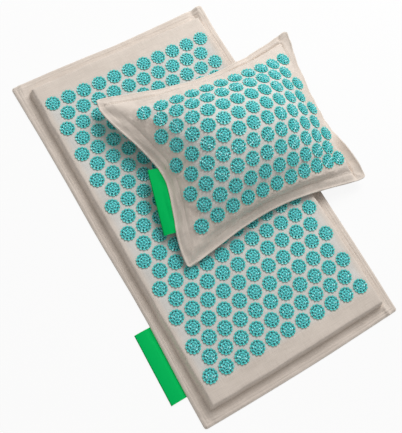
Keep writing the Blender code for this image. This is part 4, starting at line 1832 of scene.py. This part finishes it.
    def build_upper(self, finish: Material, seats: LotusField, disc: float) -> Object:
        """Build the upper panel, with its gathers, pressed flat under the discs.

        Args:
            finish: Its material.
            seats: The field of discs on it.
            disc: A disc's radius.

        Returns:
            The panel.
        """
        panel, s, t = self.grid("pillow_upper_cover", 0.0010, 0.0036)
        smooth_form = self.upper(s, t) + np.array(self.origin)
        move_points(panel, smooth_form)
        normals = np.zeros(smooth_form.size, np.float32)
        panel.data.vertices.foreach_get("normal", normals)
        normals = normals.reshape(-1, 3)
        smooth_form += normals * self.loft(s, t)[:, None]
        move_points(panel, smooth_form)
        seats.seat_on(panel)
        near_x, near_y = (1 - abs(s)) * self.length / 2, (1 - abs(t)) * self.depth / 2
        near = np.minimum(near_x, near_y)
        rim = (self.rim * (1 - ramp(near, 0.0012, 0.0042))
               - self.thickness * 0.8 * (1 - ramp(near, -0.0004, 0.001)))
        points = smooth_form + normals * (self.folds(s, t) + rim)[:, None]
        points[:, 2] -= self.valley(s, t)
        move_points(panel, press_discs(points, seats.places(), disc, self.disc_puff))
        _, reach = nearest_to(points_of(panel), seats.places())
        held = np.maximum.reduce([1 - ramp(reach, disc, 1.3 * disc),
                                  1 - ramp(near, self.flange, self.flange + 0.01),
                                  1 - ramp(np.hypot(near_x, near_y), 0.045, 0.075)])
        inflate(panel, held, pressure=1.6, slack=0.015, cap=0.003)
        move_points(panel, press_discs(points_of(panel), seats.places(), disc, 0))
        thicken(panel, self.thickness)
        smooth(panel, 70)
        dress(panel, finish, Slot.LINEN, Body.PILLOW, "pillow_top_panel")
        return panel

    def build_lower(self, zipper: Zip, finish: Material) -> Object:
        """Build the lower panel with the zip's opening.

        Args:
            zipper: The zip.
            finish: Its material.

        Returns:
            The panel.
        """
        panel, s, t = self.grid("pillow_lower_cover", 0.004, 0.007)
        points = self.lower(s, t) + np.array(self.origin)
        near = self.edge_reach(s, t).near
        points[:, 2] += self.flange_waves(s, t) * (1 - ramp(near, self.flange - 0.002, self.flange + 0.004))
        move_points(panel, points)
        panel.data.flip_normals()
        thicken(panel, self.thickness)
        zipper.cut(panel)
        smooth(panel, 60)
        dress(panel, finish, Slot.LINEN, Body.PILLOW, "pillow_bottom_panel")
        return panel

    def build_fill(self, finish: Material) -> Object:
        """Build the heap of hulls inside.

        Args:
            finish: Its material.

        Returns:
            The heap.
        """
        halves = self.halves * self.seams() - self.fill_inset
        heap, flat = edged_grid("pillow_hull_filling", halves, ((0.02, 0.004), (1, 0.008)))
        s, t = (flat / self.halves).T
        rough = abs(self.hull_lumps.over(*flat.T))
        origin = np.array(self.origin)
        top, low = self.upper(s, t) + origin, self.lower(s, t) + origin
        room = np.maximum(top[:, 2] - self.valley(s, t) - low[:, 2], 0.0022)
        top[:, 2] = low[:, 2] + room - np.minimum(0.0035 + rough, 0.45 * room)
        low[:, 2] += np.minimum(0.0018 + 0.3 * rough, 0.40 * room)
        move_points(heap, top)
        thicken(heap, self.thickness)
        points = points_of(heap)
        over_zip = (abs(low[:, :2] - origin[:2] - np.array(self.zip_middle)) < np.array(self.zip_room)).all(1)
        low[over_zip, 2] = np.maximum(low[over_zip, 2], self.origin.z + self.zip_top)
        points[len(low):] = low
        move_points(heap, points)
        smooth(heap, 60)
        dress(heap, finish, Slot.HULLS, Body.PILLOW, "pillow_hull_fill")
        return heap

    def seam_path(self, spacing: float) -> list[Vector]:
        """Lay a path along the seam on the upper panel.

        Args:
            spacing: How far apart its points are.

        Returns:
            The points.
        """
        path = rectangle_path(*(self.halves - self.flange), 0.006, spacing)
        x, y = np.array([p.to_2d() for p in path]).T
        half_x, half_y = self.halves
        across, deep = self.flange_widths(x / half_x, y / half_y)
        x -= np.sign(x) * ramp(abs(x), 0.10, half_x - self.flange) * (across - self.flange)
        y -= np.sign(y) * ramp(abs(y), 0.08, half_y - self.flange) * (deep - self.flange)
        s, t = x / half_x, y / half_y
        points = self.upper(s, t)
        points[:, 2] -= self.valley(s, t)
        return [Vector(p) + self.origin for p in points]


def rectangle_path(half_x: float, half_y: float, radius: float, spacing: float) -> list[Vector]:
    """Return points round a rectangle with rounded corners.

    Args:
        half_x: Half its width.
        half_y: Half its length.
        radius: Its corners' radius.
        spacing: How far apart the points are.

    Returns:
        The points.
    """
    points = []
    for quarter, (side_x, side_y) in enumerate(((1, 1), (-1, 1), (-1, -1), (1, -1))):
        centre = Vector((side_x * (half_x - radius), side_y * (half_y - radius), 0))
        for step in range(9):
            angle = math.tau / 4 * (quarter + step / 8)
            points.append(centre + radius * Vector((math.cos(angle), math.sin(angle), 0)))
    closed = points + points[:1]
    reach = np.concatenate([[0], np.cumsum([(b - a).length for a, b in zip(closed, closed[1:])])])
    places = np.linspace(0, reach[-1], round(reach[-1] / spacing), endpoint=False)
    x, y = (np.interp(places, reach, [p[axis] for p in closed]) for axis in (0, 1))
    return [Vector((a, b, 0)) for a, b in zip(x, y)]


@dataclass
class Stitches:
    """A line of sewn stitches."""

    pitch: float = 0.0034
    length: float = 0.0026
    thread: float = 0.00032
    sunk: float = 0.35

    def model(self) -> Object:
        """Model one stitch at the origin, along X.

        Returns:
            The stitch.
        """
        bpy.ops.mesh.primitive_uv_sphere_add(segments=6, ring_count=4, radius=1)
        stitch = bpy.context.active_object
        with editing(stitch):
            bpy.ops.mesh.select_all(action="SELECT")
            bpy.ops.transform.rotate(value=math.pi / 2, orient_axis="Y", center_override=(0, 0, 0))
            bpy.ops.transform.resize(value=(self.length / 2, self.thread, self.thread * 0.8),
                                     center_override=(0, 0, 0))
        return stitch

    def sew(self, name: str, panel: Object, path: Sequence[Vector],
            finish: Material, body: Body) -> Object:
        """Sew stitches along a closed path on a panel.

        Args:
            name: The stitches' name.
            panel: The panel that they lie on.
            path: Points near the panel, one for each stitch.
            finish: The thread's material.
            body: The body that they ride on.

        Returns:
            The stitches.
        """
        tree = surface_of(panel)
        places = []
        for here, after in zip(path, path[1:] + path[:1]):
            spot, normal, _, _ = tree.find_nearest(here)
            along = (after - here).normalized()
            along = (along - along.dot(normal) * normal).normalized()
            places.append(stand(spot + normal * self.thread * self.sunk, along, normal))
        stitch = self.model()
        seam = spread(name, stitch, places, Vector((self.length, self.thread, self.thread)))
        bpy.data.objects.remove(stitch)
        smooth(seam, 60)
        return dress(seam, finish, Slot.LINEN, body)


def surface_of(thing: Object) -> BVHTree:
    """Return an object's surface, for finding places on it."""
    points = points_of(thing).tolist()
    return BVHTree.FromPolygons(points, [tuple(face.vertices) for face in thing.data.polygons])


@dataclass
class LotusField:
    """A field of lotus discs in offset rows."""

    name: str
    body: Body
    rows: int
    longest: int
    pitch: float
    row_pitch: float
    frame: Matrix
    foot: float = 0.0
    pitch_share: float = 0.0
    row_share: float = 0.0
    turn_spread: float = 0.0
    seed: float = 0.0
    pulls: tuple = ()
    feel: float = 0.012
    sag_share: float = 0.35
    clear: float = 0.0004
    spots: list[list[Matrix]] = field(default_factory=list)

    def lay(self) -> None:
        """Lay the discs out in their plane."""
        half_rows, half_discs = (self.rows - 1) / 2, (self.longest - 1) / 2
        corner = np.array([half_discs * self.pitch * (1 - self.pitch_share),
                           half_rows * self.row_pitch * (1 - self.row_share)])
        rng = np.random.default_rng(int(self.seed * 1000) + 11)
        for row in range(self.rows):
            deep = (row - half_rows) / half_rows
            y = half_rows * self.row_pitch * deep * (1 - self.row_share * deep * deep)
            count = self.longest - row % 2
            line = []
            for disc in range(count):
                wide = (disc - (count - 1) / 2) / half_discs
                x = half_discs * self.pitch * wide * (1 - self.pitch_share * wide * wide)
                place = np.array([x, y])
                for side, pull, reach in self.pulls:
                    place += np.array(pull) * math.exp(-math.dist(np.array(side) * corner, (x, y)) / reach)
                turn = Matrix.Rotation(rng.uniform(-self.turn_spread, self.turn_spread), 4, "Z")
                line.append(self.frame @ Matrix.Translation((*place, self.foot)) @ turn)
            self.spots.append(line)

    def seat_on(self, panel: Object) -> None:
        """Seat the discs on a curved panel, each square to the cloth under it.

        Args:
            panel: The panel.
        """
        tree = surface_of(panel)
        step = self.feel
        for line in self.spots:
            for index, spot in enumerate(line):
                x, y, _ = spot.translation

                def drop(px: float, py: float) -> Vector:
                    """Return the cloth's point under a place."""
                    return tree.ray_cast(Vector((px, py, 1)), Vector((0, 0, -1)))[0]

                along = (drop(x + step, y) - drop(x - step, y)).normalized()
                up = along.cross(drop(x, y + step) - drop(x, y - step)).normalized()
                angles = np.arange(8) * math.tau / 8
                rim = [drop(x + step * math.cos(a), y + step * math.sin(a)) for a in angles]
                centre = drop(x, y)
                sag = sum((point - centre).dot(up) for point in rim) / len(rim)
                seat = centre + (sag * self.sag_share + self.clear) * up
                line[index] = stand(seat, along, up) @ spot.to_3x3().to_4x4()

    def places(self) -> list[Matrix]:
        """Return every disc's place."""
        return [spot for line in self.spots for spot in line]

    def build(self, disc: Object, size: Vector, finish: Material) -> None:
        """Build the rows.

        Args:
            disc: The disc that is copied.
            size: Its radius, its radius and its height.
            finish: The discs' material.
        """
        for number, line in enumerate(self.spots, 1):
            row = spread(f"{self.name}_disc_row_{number:02d}", disc, line, size)
            dress(row, finish, Slot.LOTUS, self.body, f"{self.name}_lotus_row_{number:02d}")


@dataclass
class Studio:
    """A pale floor, white surroundings, one soft key light from the upper right, and the camera."""

    place: Vector = field(default_factory=lambda: Vector((-0.40585, -0.31257, 1.27560)))
    axes: tuple = ((0.85014, 0.445, -0.2815), (-0.50672, 0.83675, -0.20755), (0.14318, 0.31908, 0.93685))
    lens: float = 59.61
    target: Vector = field(default_factory=lambda: Vector((0, 0, 0.03)))
    key_place: Vector = field(default_factory=lambda: Vector((1.19, 1.00, 1.65)))
    key_size: float = 1.3
    key_energy: float = 38.0
    fill: float = 0.40
    warmth: tuple = (1.0, 0.98, 0.955)

    def build(self) -> None:
        """Set the floor, the world, the lamps and the camera."""
        self._camera()
        self._floor()
        self._world()
        self._lamp("key", self.key_place, self.key_size, self.key_energy)
        bpy.context.scene.view_settings.view_transform = "Standard"

    def _camera(self) -> None:
        """Set the camera at the photograph's viewing angle."""
        camera = bpy.data.cameras.new("camera")
        camera.lens = self.lens
        camera.sensor_width = 36
        camera.clip_end = 50
        thing = add_object("camera", camera)
        thing.matrix_world = Matrix.Translation(self.place) @ Matrix(self.axes).to_4x4()
        bpy.context.scene.camera = thing

    def _seen(self, paint: Paint) -> Wire:
        """Return 1 where the camera sees something itself, by glossy rays or through glass."""
        path = paint.node("ShaderNodeLightPath")
        rays = [Wire(paint, path.outputs[f"Is {kind} Ray"]) for kind in ("Camera", "Glossy", "Transmission")]
        return rays[0].math("MAXIMUM", rays[1]).math("MAXIMUM", rays[2])

    def _floor(self) -> None:
        """Set a pale floor that is almost white to the camera and keeps a soft shadow."""
        bpy.ops.mesh.primitive_plane_add(size=8, location=(0, 0, -0.0003))
        floor = bpy.context.active_object
        floor.name = "studio_floor"
        paint = Paint("studio_floor")
        paint.shade(base_color=(0.80, 0.80, 0.80, 1), roughness=1.0, specular_ior_level=0)
        glow = paint.node("ShaderNodeEmission", None, {"Color": (1, 1, 1, 1), "Strength": 1.0})
        share = self._seen(paint) * 0.9
        mixed = paint.node("ShaderNodeMixShader", None,
                           {0: share, 1: paint.shader.outputs[0], 2: glow.outputs[0]})
        paint.feed(paint.tree.nodes["Material Output"].inputs["Surface"], mixed.outputs[0])
        floor.data.materials.append(paint.material)

    def _world(self) -> None:
        """Set white surroundings that light the object more softly than they look."""
        paint = Paint("studio", world=True)
        bpy.context.scene.world = paint.material
        seen = self._seen(paint)
        paint.shade(color=paint.mix(seen, self.warmth, (1.0, 1.0, 1.0)),
                    strength=seen * (1 - self.fill) + self.fill)

    def _lamp(self, name: str, place: Vector, size: float, energy: float) -> None:
        """Set a square lamp that shines at the object's middle.

        Args:
            name: Its name.
            place: Where it hangs.
            size: Its side.
            energy: Its power, in watts.
        """
        lamp = bpy.data.lights.new(name, "AREA")
        lamp.size = size
        lamp.energy = energy
        thing = add_object(name, lamp)
        thing.location = place
        thing.rotation_mode = "QUATERNION"
        thing.rotation_quaternion = (self.target - place).to_track_quat("-Z", "Y")


def zip_origin(joint: str, along: Vector, park: float, pivot: float) -> Vector:
    """Return a zip's origin from its pull's hinge.

    Args:
        joint: The hinge's name.
        along: The zip's direction.
        park: How far along it the pull's hinge is from its middle.
        pivot: How high the hinge is over the cloth's outer face.

    Returns:
        The origin.
    """
    return Vector(joint_of(joint)["pos_m"]) - along * park - Vector((0, 0, pivot))


class MatSet:
    """The mat and its pillow."""

    def __init__(self) -> None:
        """Make the finishes and the small shapes."""
        self.disc = LotusDisc()
        self.thread = THREAD.material()
        self.plastic = LotusPlastic(self.disc.sizes).material()
        self.coir = Fibre("coir", (0.330, 0.190, 0.090), (0.120, 0.060, 0.025), (420, 40, 300)).material()
        self.hulls = Fibre("hulls", (0.130, 0.085, 0.055), (0.030, 0.018, 0.012), (260, 240, 260)).material()
        self.zip_finishes = (TapeCloth().material(), TEETH.material(), METAL.material())
        sizes = self.disc.sizes
        self.disc_size = Vector((sizes.radius, sizes.radius, sizes.height))
        self.shape = self.disc.model()

    def build(self) -> None:
        """Build every piece in order."""
        self.build_mat()
        self.build_pillow()
        bpy.data.objects.remove(self.shape)

    def build_mat(self) -> None:
        """Build the mat."""
        discs = LotusField("mat", Body.MAT, 21, 11, 0.033, 0.0294, Matrix(), foot=0.0232,
                           turn_spread=0.25, seed=0.4)
        discs.lay()
        cover = MatCover()
        linen = Linen("mat_linen", tuple(cover.halves), (0.034, 0.060)).material()
        plain = Linen("mat_plain_linen", tuple(cover.halves)).material()
        along = Vector((1, 0, 0))
        zipper = Zip("mat_zip", zip_origin("mat_pull_hinge", along, 0.1285, 0.0014), 0, 0.300,
                     Body.MAT, Body.MAT_SLIDER, Body.MAT_PULL, 0)
        upper = cover.build_upper(discs.places(), self.disc.sizes.radius, linen)
        cover.build_lower(zipper, plain)
        cover.build_core(self.coir)
        discs.build(self.shape, self.disc_size, self.plastic)
        stitches = Stitches()
        inset = cover.seam
        path = rectangle_path(*(cover.halves - inset), cover.pad_corner - inset, stitches.pitch)
        flat = np.array([p.to_2d() for p in path])
        path = [Vector(p) for p in zip(*cover.outline(flat), cover.height(flat))]
        stitches.sew("mat_seam_stitches", upper, path, self.thread, Body.MAT)
        zipper.build(*self.zip_finishes)
        Label("mat_label", "mat_label_lift", Body.MAT, Body.MAT_LABEL, 0.138, 0.030, 0.0012,
              tuck=0.009, under=0.0022, skew=0.022, shift=0.001).build(upper)

    def build_pillow(self) -> None:
        """Build the pillow."""
        cover = PillowCover()
        linen = Linen("pillow_linen", tuple(cover.halves), (0.050, 0.046)).material()
        plain = Linen("pillow_plain_linen", tuple(cover.halves)).material()
        place = Matrix.Translation(cover.origin) @ Matrix.Translation((0.0091, -0.0087, 0))
        discs = LotusField("pillow", Body.PILLOW, 9, 11, 0.0319, 0.0286,
                           place @ Matrix.Rotation(math.radians(-1.8), 4, "Z"),
                           pitch_share=0.042, row_share=0.052, turn_spread=0.25, seed=1.3,
                           pulls=(((-1, 1), (-0.0088, 0.0060), 0.040), ((1, 1), (0.0040, 0.0100), 0.035),
                                  ((1, -1), (-0.0045, -0.0030), 0.060),
                                  ((-1, -1), (-0.0132, -0.0105), 0.055)))
        discs.lay()
        along = Vector((0, 1, 0))
        zipper = Zip("pillow_zip", zip_origin("pillow_pull_hinge", along, 0.0685, 0.0014), math.tau / 4,
                     0.180, Body.PILLOW, Body.PILLOW_SLIDER, Body.PILLOW_PULL, math.radians(90))
        upper = cover.build_upper(linen, discs, self.disc.sizes.radius)
        cover.build_lower(zipper, plain)
        cover.build_fill(self.hulls)
        discs.build(self.shape, self.disc_size, self.plastic)
        stitches = Stitches()
        stitches.sew("pillow_seam_stitches", upper, cover.seam_path(stitches.pitch), self.thread, Body.PILLOW)
        zipper.build(*self.zip_finishes)
        Label("pillow_label", "pillow_label_lift", Body.PILLOW, Body.PILLOW_LABEL, 0.124, 0.0205, 0.0010,
              skew=0.026, raised=0.20, twist=0.36).build(upper)


def main() -> None:
    """Dress the frame."""
    logging.basicConfig(level=logging.INFO)
    Studio().build()
    MatSet().build()


if __name__ == "__main__":
    main()
